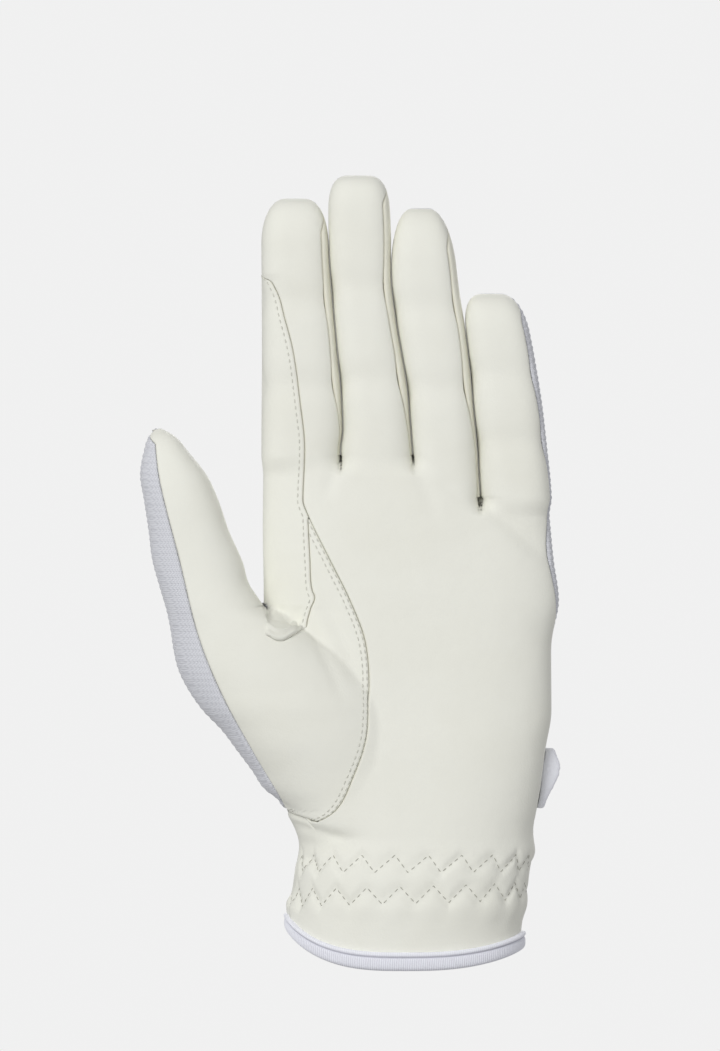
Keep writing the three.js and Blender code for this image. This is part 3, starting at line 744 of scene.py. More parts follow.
class Sock:
    """A node socket that takes part in sums and products, each of which adds a Math node."""

    def __init__(self, tree: bpy.types.NodeTree, socket: bpy.types.NodeSocket) -> None:
        """Wrap a socket of a node tree."""
        self.tree = tree
        self.socket = socket

    def _math(self, operation: str, first: "Sock | float", second: "Sock | float") -> "Sock":
        """Add a Math node for two values.

        Args:
            operation: the node's operation.
            first: first value or link.
            second: second value or link.

        Returns:
            The node's output, wrapped.
        """
        node = self.tree.nodes.new("ShaderNodeMath")
        node.operation = operation
        for k, value in enumerate((first, second)):
            if isinstance(value, Sock):
                self.tree.links.new(value.socket, node.inputs[k])
            else:
                node.inputs[k].default_value = value
        return Sock(self.tree, node.outputs[0])

    def __add__(self, other: "Sock | float") -> "Sock":
        """Sum."""
        return self._math("ADD", self, other)

    __radd__ = __add__

    def __sub__(self, other: "Sock | float") -> "Sock":
        """Difference."""
        return self._math("SUBTRACT", self, other)

    def __rsub__(self, other: "Sock | float") -> "Sock":
        """Difference the other way round."""
        return self._math("SUBTRACT", other, self)

    def __mul__(self, other: "Sock | float") -> "Sock":
        """Product."""
        return self._math("MULTIPLY", self, other)

    __rmul__ = __mul__

    def sine(self) -> "Sock":
        """Sine."""
        return self._math("SINE", self, 0.0)

    def size(self) -> "Sock":
        """Absolute value."""
        return self._math("ABSOLUTE", self, 0.0)


class Finish:
    """A material under construction: one Principled shader and the nodes that feed it."""

    def __init__(self, name: str, **uniform: float | tuple[float, ...]) -> None:
        """Start a material; uniform values go straight to the shader's own sockets.

        Args:
            name: the material's name.
            uniform: values by socket name, with _ for a space.
        """
        self.material = bpy.data.materials.new(name)
        self.material.use_nodes = True
        self.tree = self.material.node_tree
        self.shader = self.tree.nodes["Principled BSDF"]
        for key, value in uniform.items():
            self.shader.inputs[key.replace("_", " ")].default_value = value

    def node(self, kind: str, settings: dict[str, object] | None = None, output: int | str = 0,
             **inputs: "Sock | float | tuple[float, ...]") -> Sock:
        """Add a node.

        Args:
            kind: the node's type.
            settings: properties set before the sockets.
            output: which output is wanted.
            inputs: values or links, by socket name with _ for a space.

        Returns:
            The output, wrapped.
        """
        node = self.tree.nodes.new(kind)
        for key, value in (settings or {}).items():
            setattr(node, key, value)
        for key, value in inputs.items():
            socket = self.socket_named(node, key.replace("_", " "))
            if isinstance(value, Sock):
                self.tree.links.new(value.socket, socket)
            else:
                socket.default_value = value
        return Sock(self.tree, node.outputs[output])

    @staticmethod
    def socket_named(node: bpy.types.Node, name: str) -> bpy.types.NodeSocket:
        """The enabled input of that name."""
        return next(s for s in node.inputs if s.name == name and s.enabled)

    def feed(self, name: str, value: Sock) -> None:
        """Link a value to one of the shader's sockets."""
        self.tree.links.new(value.socket, self.shader.inputs[name])

    def place(self) -> Sock:
        """Object coordinates."""
        return self.node("ShaderNodeTexCoord", output="Object")

    def attribute(self, name: str, output: str = "Fac") -> Sock:
        """A number or vector kept on the points."""
        return self.node("ShaderNodeAttribute", {"attribute_name": name}, output)

    def noise(self, scale: float, detail: float, roughness: float) -> Sock:
        """Noise from 0 to 1 at a scale in cells a metre."""
        return self.node("ShaderNodeTexNoise", output="Fac", Vector=self.place(), Scale=scale,
                         Detail=detail, Roughness=roughness)

    def held(self, value: Sock) -> Sock:
        """A value kept between 0 and 1."""
        return self.node("ShaderNodeClamp", Value=value, Min=0.0, Max=1.0)

    def blend(self, first: object, second: object, amount: Sock | float) -> Sock:
        """Mix two colours."""
        return self.node("ShaderNodeMix", {"data_type": "RGBA"}, output=2, Factor=amount, A=first, B=second)

    def bump(self, height: Sock, distance: float, strength: float = 1.0, under: Sock | None = None) -> Sock:
        """Bump from a height from 0 to 1, distance in metres."""
        extra = {"Normal": under} if under else {}
        return self.node("ShaderNodeBump", Height=height, Distance=distance, Strength=strength, **extra)


@dataclass(frozen=True)
class LeatherFinish:
    """Smooth synthetic leather: a faint pebble grain, soft random colour changes, and painted shade that darkens and
    yellows the turned-in seams.
    """

    name: str
    colour: tuple[float, float, float]
    shade: tuple[float, float, float]
    roughness: float = 0.62
    grain_scale: float = 1500.0
    grain_depth: float = 0.00006

    def build(self) -> bpy.types.Material:
        """Make the material.

        Returns:
            The material.
        """
        finish = Finish(self.name, Specular_IOR_Level=0.22, Sheen_Weight=0.05, Sheen_Roughness=0.5)
        cells = finish.node("ShaderNodeTexVoronoi", {"feature": "SMOOTH_F1"}, "Distance",
                            Vector=finish.place(), Scale=self.grain_scale, Smoothness=0.6)
        fine = finish.noise(self.grain_scale * 1.7, 3.0, 0.6)
        broad = finish.noise(38.0, 3.0, 0.5)
        seam = finish.attribute("crease")
        # Painted shade: the colour goes towards the shade colour where the crease attribute marks a turned-in seam;
        # the broad noise is random tone.
        tone_and_seam_shade = (broad - 0.45) * 0.35 + seam * seam * 0.45
        finish.feed("Base Color", finish.blend((*self.colour, 1), (*self.shade, 1), finish.held(tone_and_seam_shade)))
        finish.feed("Roughness", self.roughness + (fine - 0.5) * 0.14 + (cells - 0.4) * 0.06)
        skin = finish.bump(cells * 0.7 + fine * 0.5, self.grain_depth, 0.7)
        wave = finish.bump(finish.noise(160.0, 2.0, 0.45), 0.0006, 0.35, skin)
        finish.feed("Normal", wave)
        return finish.material


@dataclass(frozen=True)
class KnitFinish:
    """Close knit with cross ribs in the mesh: bump gives the loops along each rib, and painted shade darkens the
    hollows between them.
    """

    name: str
    colour: tuple[float, float, float]
    shade: tuple[float, float, float]
    rib: float = 1.8
    loop: float = 0.62
    depth: float = 0.00012

    def build(self) -> bpy.types.Material:
        """Make the material.

        Returns:
            The material.
        """
        finish = Finish(self.name, Roughness=0.85, Specular_IOR_Level=0.2, Sheen_Weight=0.25, Sheen_Roughness=0.6)
        cloth = finish.attribute("cloth", "Vector")
        split = finish.node("ShaderNodeSeparateXYZ", output="X", Vector=cloth)
        rise = finish.node("ShaderNodeSeparateXYZ", output="Y", Vector=cloth)
        lean = (rise * (2 * PI / self.rib)).sine() * 0.35
        loops = ((split * (1 / self.loop) + lean) * PI).sine().size()
        rows = (rise * (2 * PI / (self.rib / 3))).sine() * 0.5 + 0.5
        pattern = loops * 0.65 + rows * 0.35
        fuzz = finish.noise(2600.0, 3.0, 0.6)
        # Painted shade: the colour darkens towards the shade colour in the hollows between loops and rows; fuzz adds
        # random tone.
        amount = 1 - pattern * 0.8
        finish.feed("Base Color", finish.blend((*self.colour, 1), (*self.shade, 1), amount * 0.55 + fuzz * 0.15))
        finish.feed("Normal", finish.bump(pattern + fuzz * 0.25, self.depth, 0.9))
        return finish.material


@dataclass(frozen=True)
class TapeFinish:
    """Ribbed binding tape: ribs in the mesh, fine threads in bump."""

    name: str
    colour: tuple[float, float, float]
    shade: tuple[float, float, float]
    thread: float = 3200.0

    def build(self) -> bpy.types.Material:
        """Ribbed binding tape: ribs in the mesh, fine threads in bump, painted shade in its grooves.

        Returns:
            The material.
        """
        finish = Finish(self.name, Roughness=0.8, Specular_IOR_Level=0.22, Sheen_Weight=0.2, Sheen_Roughness=0.6)
        fuzz = finish.noise(self.thread, 3.0, 0.6)
        seam = finish.attribute("crease")
        # Painted shade: darker where the crease attribute marks rib valleys and the groove under the lip; fuzz adds
        # random tone.
        dark = finish.held(seam * 1.2 + (fuzz - 0.5) * 0.3)
        finish.feed("Base Color", finish.blend((*self.colour, 1), (*self.shade, 1), dark))
        finish.feed("Normal", finish.bump(fuzz, 0.00008, 0.7))
        return finish.material


@dataclass(frozen=True)
class ThreadFinish:
    """Sewing thread with a slight twist."""

    name: str
    colour: tuple[float, float, float]

    def build(self) -> bpy.types.Material:
        """Make the material.

        Returns:
            The material.
        """
        finish = Finish(self.name, Roughness=0.6, Specular_IOR_Level=0.3)
        twist = finish.noise(5200.0, 2.0, 0.5)
        darker = tuple(0.8 * c for c in self.colour)
        finish.feed("Base Color", finish.blend((*darker, 1), (*self.colour, 1), twist))
        finish.feed("Normal", finish.bump(twist, 0.00005, 0.5))
        return finish.material


@dataclass
class Fold:
    """A soft dent from one point to another, in shares of palm width and palm length."""

    x0: float
    z0: float
    x1: float
    z1: float
    width: float
    depth: float

    def press(self, x: Array, z: Array, hand: FilledHand) -> Array:
        """Depth times exp(-(distance to the line / width)^2), in millimetres.

        Args:
            x: place across.
            z: height.
            hand: the sizes of the hand.

        Returns:
            How far each place is pressed in.
        """
        ax, az = self.x0 * hand.palm_width, self.z0 * hand.palm_length
        dx, dz = self.x1 * hand.palm_width - ax, self.z1 * hand.palm_length - az
        t = np.clip(((x - ax) * dx + (z - az) * dz) / (dx * dx + dz * dz), 0, 1)
        far = np.hypot(x - ax - t * dx, z - az - t * dz)
        fade = 1.0 - 0.6 * np.abs(2 * t - 1) ** 3
        return self.depth * fade * np.exp(-((far / self.width) ** 2))


@dataclass
class Relief:
    """Dents, folds and finger creases of the front leather."""

    hand: FilledHand
    folds: tuple[Fold, ...] = (
        Fold(0.06, 0.44, 0.10, 0.72, 28.0, 0.8),
        Fold(0.28, 0.90, 0.47, 0.80, 3.0, 1.4),
        Fold(-0.23, 1.00, -0.28, 0.92, 2.4, 0.5),
        Fold(0.02, 0.99, 0.09, 0.88, 2.4, 0.5),
        Fold(0.24, 0.93, 0.28, 0.89, 2.2, 0.6),
        Fold(-0.29, 0.72, -0.17, 0.56, 2.2, 0.5),
        Fold(-0.33, 0.66, -0.22, 0.52, 2.0, 0.45),
        Fold(-0.38, 0.22, -0.16, 0.235, 3.0, 1.2),
        Fold(-0.402, 0.262, -0.215, 0.234, 1.8, 1.0),
        Fold(-0.358, 0.205, -0.307, 0.174, 1.5, 0.7),
        Fold(-0.40, 0.13, -0.34, 0.06, 2.4, 0.6),
    )
    creases: tuple[tuple[float, float], ...] = ((0.27, 0.7), (0.60, 0.6))

    def push(self, points: Array) -> Array:
        """Push along the normal: folds press in."""
        x, z = points[..., 0], points[..., 2]
        return -sum(fold.press(x, z, self.hand) for fold in self.folds)

    def finger_push(self, finger: Finger, points: Array) -> Array:
        """Push of a finger's front, with its two soft creases.

        Args:
            finger: which finger.
            points: points of its front.

        Returns:
            Push along the normal.
        """
        rise = (points[..., 2] - self.hand.palm_length) / self.hand.finger_length
        total = 0.5 * self.push(points)
        for place, depth in self.creases:
            far = (rise - place * (finger.tip - finger.crotch) - finger.crotch) / 0.055
            total = total - depth * np.exp(-(far**2))
        return total


@dataclass
class Panels:
    """All sewn panels of the glove, with the seams they share."""

    hand: FilledHand
    relief: Relief
    fourchette_show: float = 1.9
    fourchette_back: float = 0.5
    wrap: float = 0.62
    junction: float = 0.267
    wall: float = 0.8
    tuck: float = 0.018
    finger_columns: int = 28
    strip_columns: int = 5
    corner: float = 0.657
    tongue_top: float = 0.872
    thumb_end: float = 1.05
    knit_foot: float = 0.027
    side_wrap: float = 0.5
    side_end: float = 1.352
    thumb_behind: float = 0.6
    roots_start: float = 0.93
    knit_rib: float = 1.8
    knit_rib_depth: float = 0.10

    def seam_turn(self, table: Table, share: Array, thumb: bool) -> Array:
        """Turn of a front seam given by its place across."""
        x = table.at("x", share) * self.hand.palm_width
        return self.hand.ring_turn(x, Side.PALM.value, share, thumb)

    def ulnar_turn(self, share: Array, thumb: bool) -> Array:
        """Turn at which the palm leather ends at the little finger edge.

        Args:
            share: height as a share of the palm length.
            thumb: whether the ring runs round the thumb's mound too.

        Returns:
            The turns.
        """
        turn = ULNAR_SEAM.at("turn", share)
        left, right = self.hand.hand_edges(share)
        c, s = rounded(turn, HAND.at("full", share))
        x = (left + right) / 2 + (right - left) / 2 * c
        return self.hand.ring_turn(x, side_at(s), share, thumb)

    def root_points(self, finger: Finger, turn: Array) -> Array:
        """Points round a finger's root, where it leaves the palm: height is palm length - drop(x).

        Args:
            finger: which finger.
            turn: angles round the finger.

        Returns:
            The points.
        """
        z = np.full_like(turn, self.hand.palm_length)
        for _ in range(8):
            x = self.hand.finger_point(finger, z, turn, 1.0)[..., 0]
            z = self.hand.palm_length - self.hand.drop(x)
        return self.hand.finger_point(finger, z, turn, 1.0)

    def fading(self, finger: Finger, z: Array) -> Array:
        """1 along the finger, 0 at its tip: the side strips narrow to a point there."""
        length = finger.round * self.hand.finger_depth
        return 1 - smooth(self.hand.tip(finger) - 0.75 * length, self.hand.tip(finger), z)

    def right_turn(self, finger: Finger, z: Array) -> Array:
        """Turn of the seam on a finger's right: the side strip's, or the knit's on the little finger.

        Args:
            finger: which finger.
            z: heights.

        Returns:
            The turns.
        """
        if finger is LITTLE:
            turn = ULNAR_SEAM.at("turn", z / self.hand.palm_length)
            return turn * mix(0.4, 1.0, self.fading(finger, z))
        left, right = self.hand.finger_edges(finger, z)
        show = self.fourchette_show * mix(0.3, 1.0, smooth(0.0, 0.18, z / self.hand.palm_length - 1))
        turn = turn_at(right - show, Side.PALM.value, left, right, self.hand.finger_square)
        return turn * self.fading(finger, z)

    def left_turn(self, finger: Finger, z: Array) -> Array:
        """Turn of the seam on a finger's left; the index finger's is the side leather's.

        Args:
            finger: which finger.
            z: heights.

        Returns:
            The turns.
        """
        if finger is not INDEX:
            return np.full_like(z, PI)
        left, right = self.hand.finger_edges(finger, z)
        x = PALM_SEAM.at("x", z / self.hand.palm_length) * self.hand.palm_width
        inside = turn_at(np.maximum(x, left), Side.PALM.value, left, right, self.hand.finger_square)
        return mix(inside, PI + 0.3, smooth(1.345, 1.372, z / self.hand.palm_length))

    def crotch(self, finger: Finger) -> Array:
        """Height of the crotch at a finger's right, which is lower beside the little finger."""
        lower = self.hand.little_drop if finger in (LITTLE, RING) else 0
        return np.array([self.hand.palm_length - lower])

    def finger_rows(self, finger: Finger, root: Array, count: int) -> tuple[Array, Array]:
        """Heights and closing of a finger's rows.

        Args:
            finger: which finger.
            root: height of the root under each column.
            count: rows of the straight part; the rounded tip gets a third as many.

        Returns:
            Heights, rows by columns, and how open each row is, from 1 down to 0.
        """
        length = finger.round * self.hand.finger_depth
        start = self.hand.tip(finger) - length
        shaft = mix(root[None, :], start, np.linspace(0, 1, count)[:, None])
        angle = np.linspace(0, PI / 2, count // 3 + 1)[1:]
        c, s = rounded(angle, finger.full)
        cap = np.broadcast_to((start + length * s)[:, None], (len(angle), len(root)))
        close = np.concatenate([np.ones(count), np.maximum(c, 0.0)])
        return np.concatenate([shaft, cap]), close[:, None]

    def front_finger(self, finger: Finger) -> tuple[Patch, Array]:
        """Front of a finger, and its root points.

        Args:
            finger: which finger.

        Returns:
            The patch and its root points.
        """
        top = np.array([self.hand.palm_length])
        start, end = self.right_turn(finger, self.crotch(finger))[0], self.left_turn(finger, top)[0]
        turns = mix(start, end, eased(self.finger_columns, 0.45))
        root = self.root_points(finger, turns)
        z, close = self.finger_rows(finger, root[:, 2], 84)
        p = shares_of(turns)
        turn = mix(self.right_turn(finger, z), self.left_turn(finger, z), p[None, :])
        turn[0] = turns
        patch = Patch(self.hand.finger_point(finger, z, turn, close))
        patch.push += self.relief.finger_push(finger, patch.points) * facing(turn)
        patch.push *= close
        patch.roll(patch.first())
        if finger is INDEX:
            patch.roll(patch.last())
        return patch, root

    def root_row(self) -> tuple[Array, list[Patch]]:
        """All points along the palm's top edge from right to left, and the finger fronts that stand on it.

        Returns:
            The points and the patches.
        """
        pieces, fronts = [], []
        for finger in FINGERS:
            patch, root = self.front_finger(finger)
            fronts.append(patch)
            if finger is not LITTLE:
                edges = self.hand.finger_edges(finger, root[0, 2])
                seam = turn_at(root[0, 0], Side.PALM.value, *edges, self.hand.finger_square)
                strip = self.root_points(finger, mix(0.0, float(seam), np.linspace(0, 1, self.strip_columns)[:-1]))
                pieces.append(strip)
            pieces.append(root)
        return np.concatenate(pieces), fronts

    def palm(self, threads: "Threads") -> None:
        """Front leather: palm, finger fronts and cuff front, in one piece.

        Args:
            threads: what the stitches need, which gets its patches, and the finishes.
        """
        top, fronts = self.root_row()
        below = np.linspace(self.junction, self.roots_start, 84)[:-1]
        share = np.concatenate([below, np.linspace(self.roots_start, 1, 26)])
        turns = self.hand.ring_turn(top[:, 0], Side.PALM.value, 1.0, False)
        q = shares_of(turns)
        right = self.ulnar_turn(share, False)
        left = self.seam_turn(PALM_SEAM, share, False)
        ease = smooth(0.90, 1.0, share)
        right += (turns[0] - right[-1]) * ease
        left += (turns[-1] - left[-1]) * ease
        turn = mix(right[:, None], left[:, None], q[None, :])
        points = self.hand.ring(turn, share[:, None], False)
        x = points[..., 0]
        side = side_at(np.sin(turn))
        points[..., 1] = -side * self.hand.depth(x, share[:, None] + 0 * x, side, points[..., 2])
        points[-1] = top
        body = Patch(points)
        body.push += self.relief.push(points) * facing(turn)
        body.roll_sides()
        cuff = self.cuff_front(turn[0])
        patches = [body, *fronts, cuff]
        sew_piece("palm_leather", patches, threads.looks["leather"], ("palm_panel",), self.wall)
        threads.cuff = cuff
        threads.cuff_turns = self.cuff_turns(turn[0])

    def cuff_turns(self, palm: Array) -> Array:
        """Columns of the cuff's front: the palm's own, and more under the thumb's mound."""
        return np.concatenate([palm, np.linspace(palm[-1], PI + self.wrap, 84)[1:]])

    def cuff_front(self, palm: Array) -> Patch:
        """Front leather below the palm, shirred by two rows of zigzag stitches.

        Args:
            palm: turns of the palm's lowest row, which the cuff goes on from.

        Returns:
            The cuff's front.
        """
        turn = self.cuff_turns(palm)
        share = np.linspace(0.0, 1.0, 84)
        ring = self.hand.ring(turn, 0.2 + 0 * turn)
        heel = smooth(-26.8, -28.2, ring[:, 0])
        above = self.junction + self.knit_foot * smooth(-27.0, -36.0, ring[:, 0]) + self.tuck * heel
        grid = share[:, None] * above[None, :]
        patch = Patch(self.hand.ring(np.broadcast_to(turn, grid.shape), grid))
        patch.push += SHIRRING.puff(turn[None, :], patch.points[..., 2])
        patch.push += self.relief.push(patch.points) * facing(turn)[None, :]
        patch.push -= 0.9 * heel[None, :] * smooth(4.6, 2.2, patch.top())
        patch.roll_sides()
        return patch

    def thumb_top(self) -> tuple[Array, Array]:
        """Turns of the thumb's front from its inner edge to the knit seam at the web, and those points.

        Returns:
            The turns and the points.
        """
        share = self.hand.web
        left, right = self.hand.thumb_edges(np.array(share))
        knit = KNIT_SEAM.at("x", np.array(share)) * self.hand.palm_width
        seam = float(turn_at(knit, Side.PALM.value, left, right, self.hand.thumb_square))
        turns = mix(0.0, seam, eased(40, 0.45))
        return turns, self.hand.thumb_point(share, turns)

    def knit_turn(self, share: Array) -> Array:
        """Turn of the knit seam round the thumb above the web.

        Args:
            share: height as a share of the palm length.

        Returns:
            The turns.
        """
        left, right = self.hand.thumb_edges(share)
        x = KNIT_SEAM.at("x", share) * self.hand.palm_width
        x = np.clip(x, left + 0.4, right)
        turn = turn_at(x, Side.PALM.value, left, right, self.hand.thumb_square)
        return mix(turn, PI, smooth(self.thumb_end - 0.03, self.thumb_end, share))

    def thumb_rows(self, count: int) -> Array:
        """Shares of the thumb's rows from the web to its end, closer together towards the end."""
        return mix(self.hand.web, self.thumb_end, 1 - (1 - np.linspace(0, 1, count)) ** 1.5)

    @staticmethod
    def capped(points: Array) -> Patch:
        """Patch of the thumb, closed by one point a little above its last row.

        Args:
            points: grid of points, rows towards the tip.

        Returns:
            The patch.
        """
        tip = points[-1].mean(axis=0)
        tip[2] += 0.4
        patch = Patch(np.concatenate([points, np.broadcast_to(tip, (1, *points.shape[1:]))]))
        patch.roll_sides()
        patch.push[-1] = 0
        return patch

    @staticmethod
    def spread(shares: Array, start: int) -> Array:
        """Column shares whose last part, from start on, is drawn out so that no two columns meet.

        Args:
            shares: shares of the columns, from 0 to 1.
            start: first column of the part drawn out.

        Returns:
            The new shares.
        """
        along = np.linspace(0, 1, len(shares) - start + 1)[1:]
        even = mix(shares[start - 1], 1.0, along)
        return np.concatenate([shares[:start], mix(shares[start:], even, 0.4 * (1 - along))])

    def mound(self, web: Array) -> tuple[Patch, Array, Array, Array]:
        """Leather over the thumb's mound, up to the web.

        Args:
            web: points of the thumb's front at the web, which the top row ends with.

        Returns:
            The patch, and under the tongue the places across, shares and turns of its top row.
        """
        hand = self.hand
        tongue_x = TONGUE_SEAM.at("x", np.array(self.corner)) * hand.palm_width
        seam_x = PALM_SEAM.at("x", np.array(hand.web)) * hand.palm_width
        tongue = mix(float(seam_x), float(tongue_x), eased(26, 0.5))
        edge = hand.hand_edges(np.array(hand.web))[0]
        side = mix(float(tongue_x), float(edge), eased(24, 0.3))
        top_x = np.concatenate([tongue, side[1:], web[:, 0]])
        tucked = smooth(0, 11.0, float(tongue_x) - side)
        rest = len(tongue) + len(side) - 1
        top_share = np.concatenate([
            mix(hand.web, self.corner, shares_of(tongue)),
            mix(self.corner, hand.web, tucked[1:]),
            np.full(len(web), hand.web),
        ])
        order = hand.ring_turn(top_x, Side.PALM.value, np.array(hand.web), True)
        q = self.spread(shares_of(order), rest)
        foot = mix(self.junction, self.junction + self.knit_foot, q)
        rows = np.linspace(0, 1, 120)[:, None]
        share = mix(foot[None, :], top_share[None, :], rows)
        right = self.seam_turn(PALM_SEAM, share, True)
        left = self.seam_turn(KNIT_SEAM, share, True)
        top_turn = hand.ring_turn(top_x, Side.PALM.value, top_share, True)
        settled = (top_turn - right[-1]) / (left[-1] - right[-1])
        settled[0], settled[-1] = 0, 1
        settled = self.spread(np.maximum.accumulate(settled), rest)
        turn = mix(right, left, mix(q[None, :], settled[None, :], smooth(0.7, 1.0, rows)))
        points = hand.ring(turn, share, True)
        points[-1, rest:] = web
        patch = Patch(points)
        patch.push += self.relief.push(points)
        patch.roll_sides()
        patch.roll(patch.bottom())
        flat = np.zeros(len(q))
        flat[len(tongue) : rest] = 1
        above = points[..., 2] - hand.palm_length * WEB_SEAM.at("height", points[..., 0] / hand.palm_width)
        patch.push -= 1.0 * flat[None, :] * smooth(-0.3, 1.2, above) * smooth(0.80, 0.86, rows)
        return patch, tongue, top_share[: len(tongue)], turn[-1, : len(tongue)]

    def tongue(self, tongue: Array, foot_share: Array, foot_turn: Array) -> Patch:
        """Narrow leather between the palm seam and the side leather, above the mound.

        Args:
            tongue: places across of its lowest row.
            foot_share: shares of that row.
            foot_turn: turns of that row round the mound.

        Returns:
            The patch.
        """
        hand = self.hand
        share = mix(foot_share[None, :], self.tongue_top, np.linspace(0, 1, 46)[:, None])
        right = self.seam_turn(PALM_SEAM, share, False)
        left = self.seam_turn(TONGUE_SEAM, share, False)
        points = hand.ring(mix(right, left, shares_of(tongue)[None, :]), share, False)
        points[0] = hand.ring(foot_turn, foot_share, True)
        patch = Patch(points)
        patch.push += self.relief.push(points)
        patch.roll_sides()
        return patch

    def thumb(self, threads: "Threads") -> None:
        """Thumb leather: the mound, the thumb's front and inner side, and the tongue beside the palm seam.

        Args:
            threads: what the stitches need, which gets its patches, and the finishes.
        """
        turns, web = self.thumb_top()
        mound, *foot = self.mound(web)
        strip = self.tongue(*foot)
        share = self.thumb_rows(90)
        inner = np.linspace(-self.thumb_behind, 0.0, 12)[:-1]
        every = np.concatenate([inner, turns])
        ratio = np.where(every > 0, every / turns[-1], 0)
        turn = np.where(every[None, :] > 0, ratio[None, :] * self.knit_turn(share)[:, None], every[None, :])
        points = self.hand.thumb_point(share[:, None], turn)
        points[0, len(inner) :] = web
        patches = [mound, strip, self.capped(points)]
        sew_piece("thumb_leather", patches, threads.looks["leather"], ("thumb_panel",), self.wall)
        threads.mound, threads.strip = mound, strip

    def side_foot(self, web_turns: Array) -> Array:
        """Shares of the side leather's lowest row: its front follows the web's seam, its back the web.

        Args:
            web_turns: turns of its columns at the web.

        Returns:
            A share a column.
        """
        low = np.full(len(web_turns), self.corner)
        for _ in range(6):
            left, right = self.hand.hand_edges(low)
            c, _ = rounded(web_turns, HAND.at("full", low))
            x = (left + right) / 2 + (right - left) / 2 * c
            front = np.minimum(WEB_SEAM.at("height", x / self.hand.palm_width), self.hand.web)
            behind = mix(front, self.hand.web, smooth(PI, PI + 0.2, web_turns))
            low = np.where(web_turns < PI, front, behind)
        return low

    def side(self, threads: "Threads") -> None:
        """Leather on the outer side of the index finger, ending in rolled folds over the thumb's web.

        Args:
            threads: what the stitches need, which gets its patches, and the finishes.
        """
        hand = self.hand
        top = np.array([hand.palm_length])
        root_turns = mix(float(self.left_turn(INDEX, top)[0]), PI + self.side_wrap, eased(46, 0.4))
        root = self.root_points(INDEX, root_turns)
        order = hand.ring_turn(root[:, 0], side_at(np.sin(root_turns)), np.array(1.0), False)
        q = shares_of(order)
        rows = np.linspace(0, 1, 84)[:, None]
        web_turns = mix(self.seam_turn(TONGUE_SEAM, np.array(self.corner), False), order[-1], q)
        share = mix(self.side_foot(web_turns)[None, :], 1.0, rows)
        seam = np.where(share < self.tongue_top, TONGUE_SEAM.at("x", share), PALM_SEAM.at("x", share))
        front = hand.ring_turn(seam * hand.palm_width, Side.PALM.value, share, False)
        front += (order[0] - front[-1])[None, :] * smooth(0.92, 1.0, share)
        turn = mix(front, order[-1], q[None, :])
        points = hand.ring(turn, share, False)
        points[-1] = root
        palm = Patch(points)
        palm.push += self.relief.push(points) * facing(turn)
        palm.roll_sides()
        climb = palm.bottom()
        front_only = (web_turns < PI - 0.35).astype(float)[None, :] * smooth(-31.0, -35.0, points[..., 0])
        lower_roll = np.sin(PI * np.clip(climb / 2.2, 0, 1)) ** 0.7
        upper_roll = np.sin(PI * np.clip((climb - 2.2) / 2.4, 0, 1)) ** 0.7
        beyond = smooth(4.4, 5.6, climb) * (1 - smooth(6.5, 14.0, climb))
        palm.push += front_only * (1.1 * lower_roll + upper_roll - 2.0 * beyond)
        end = self.side_end * hand.palm_length
        z = mix(root[:, 2][None, :], end + 2.5, np.linspace(0, 1, 70)[:, None])
        behind = mix(PI + self.side_wrap, PI + 0.3, smooth(end - 8, end, z))
        ahead = np.minimum(self.left_turn(INDEX, z), behind - 0.01)
        finger_turn = mix(ahead, behind, shares_of(root_turns)[None, :])
        finger_turn[0] = root_turns
        finger_points = hand.finger_point(INDEX, z, finger_turn, 1.0)
        column = Patch(finger_points)
        column.push += self.relief.finger_push(INDEX, finger_points) * facing(finger_turn)
        column.roll_sides()
        look = threads.looks["leather"]
        sew_piece("index_side_leather", [palm, column], look, ("index_side_panel",), self.wall)
        threads.side_palm, threads.side_column = palm, column

    def fourchettes(self, threads: "Threads") -> None:
        """Strips between neighbouring fingers: the right wall of one and the left wall of the next.

        Args:
            threads: the finishes.
        """
        for first, second in ((INDEX, MIDDLE), (MIDDLE, RING), (RING, LITTLE)):
            name = f"fourchette_{first.name}_{second.name}"
            walls = [self.wall_strip(first, True), self.wall_strip(second, False)]
            look = threads.looks["fourchette"]
            sew_piece(f"{name}_leather", walls, look, (name,), self.wall)

    def wall_strip(self, finger: Finger, right: bool) -> Patch:
        """One finger's side wall from its front seam to its back seam.

        Args:
            finger: which finger.
            right: whether it is the finger's right wall.

        Returns:
            The patch.
        """
        if right:
            seam = float(self.right_turn(finger, self.crotch(finger))[0])
            turns = mix(-self.fourchette_back, seam, np.linspace(0, 1, 15))
        else:
            turns = mix(PI, PI + self.fourchette_back, np.linspace(0, 1, 12))
        root = self.root_points(finger, turns)
        z, close = self.finger_rows(finger, root[:, 2], 84)
        fade = self.fading(finger, z)
        p = shares_of(turns)[None, :]
        if right:
            turn = mix(-self.fourchette_back * fade, self.right_turn(finger, z), p)
        else:
            turn = mix(np.full_like(z, PI), PI + self.fourchette_back * fade, p)
        turn[0] = turns
        patch = Patch(self.hand.finger_point(finger, z, turn, close))
        patch.roll_sides(0.6, 0.35)
        patch.push *= close
        return patch

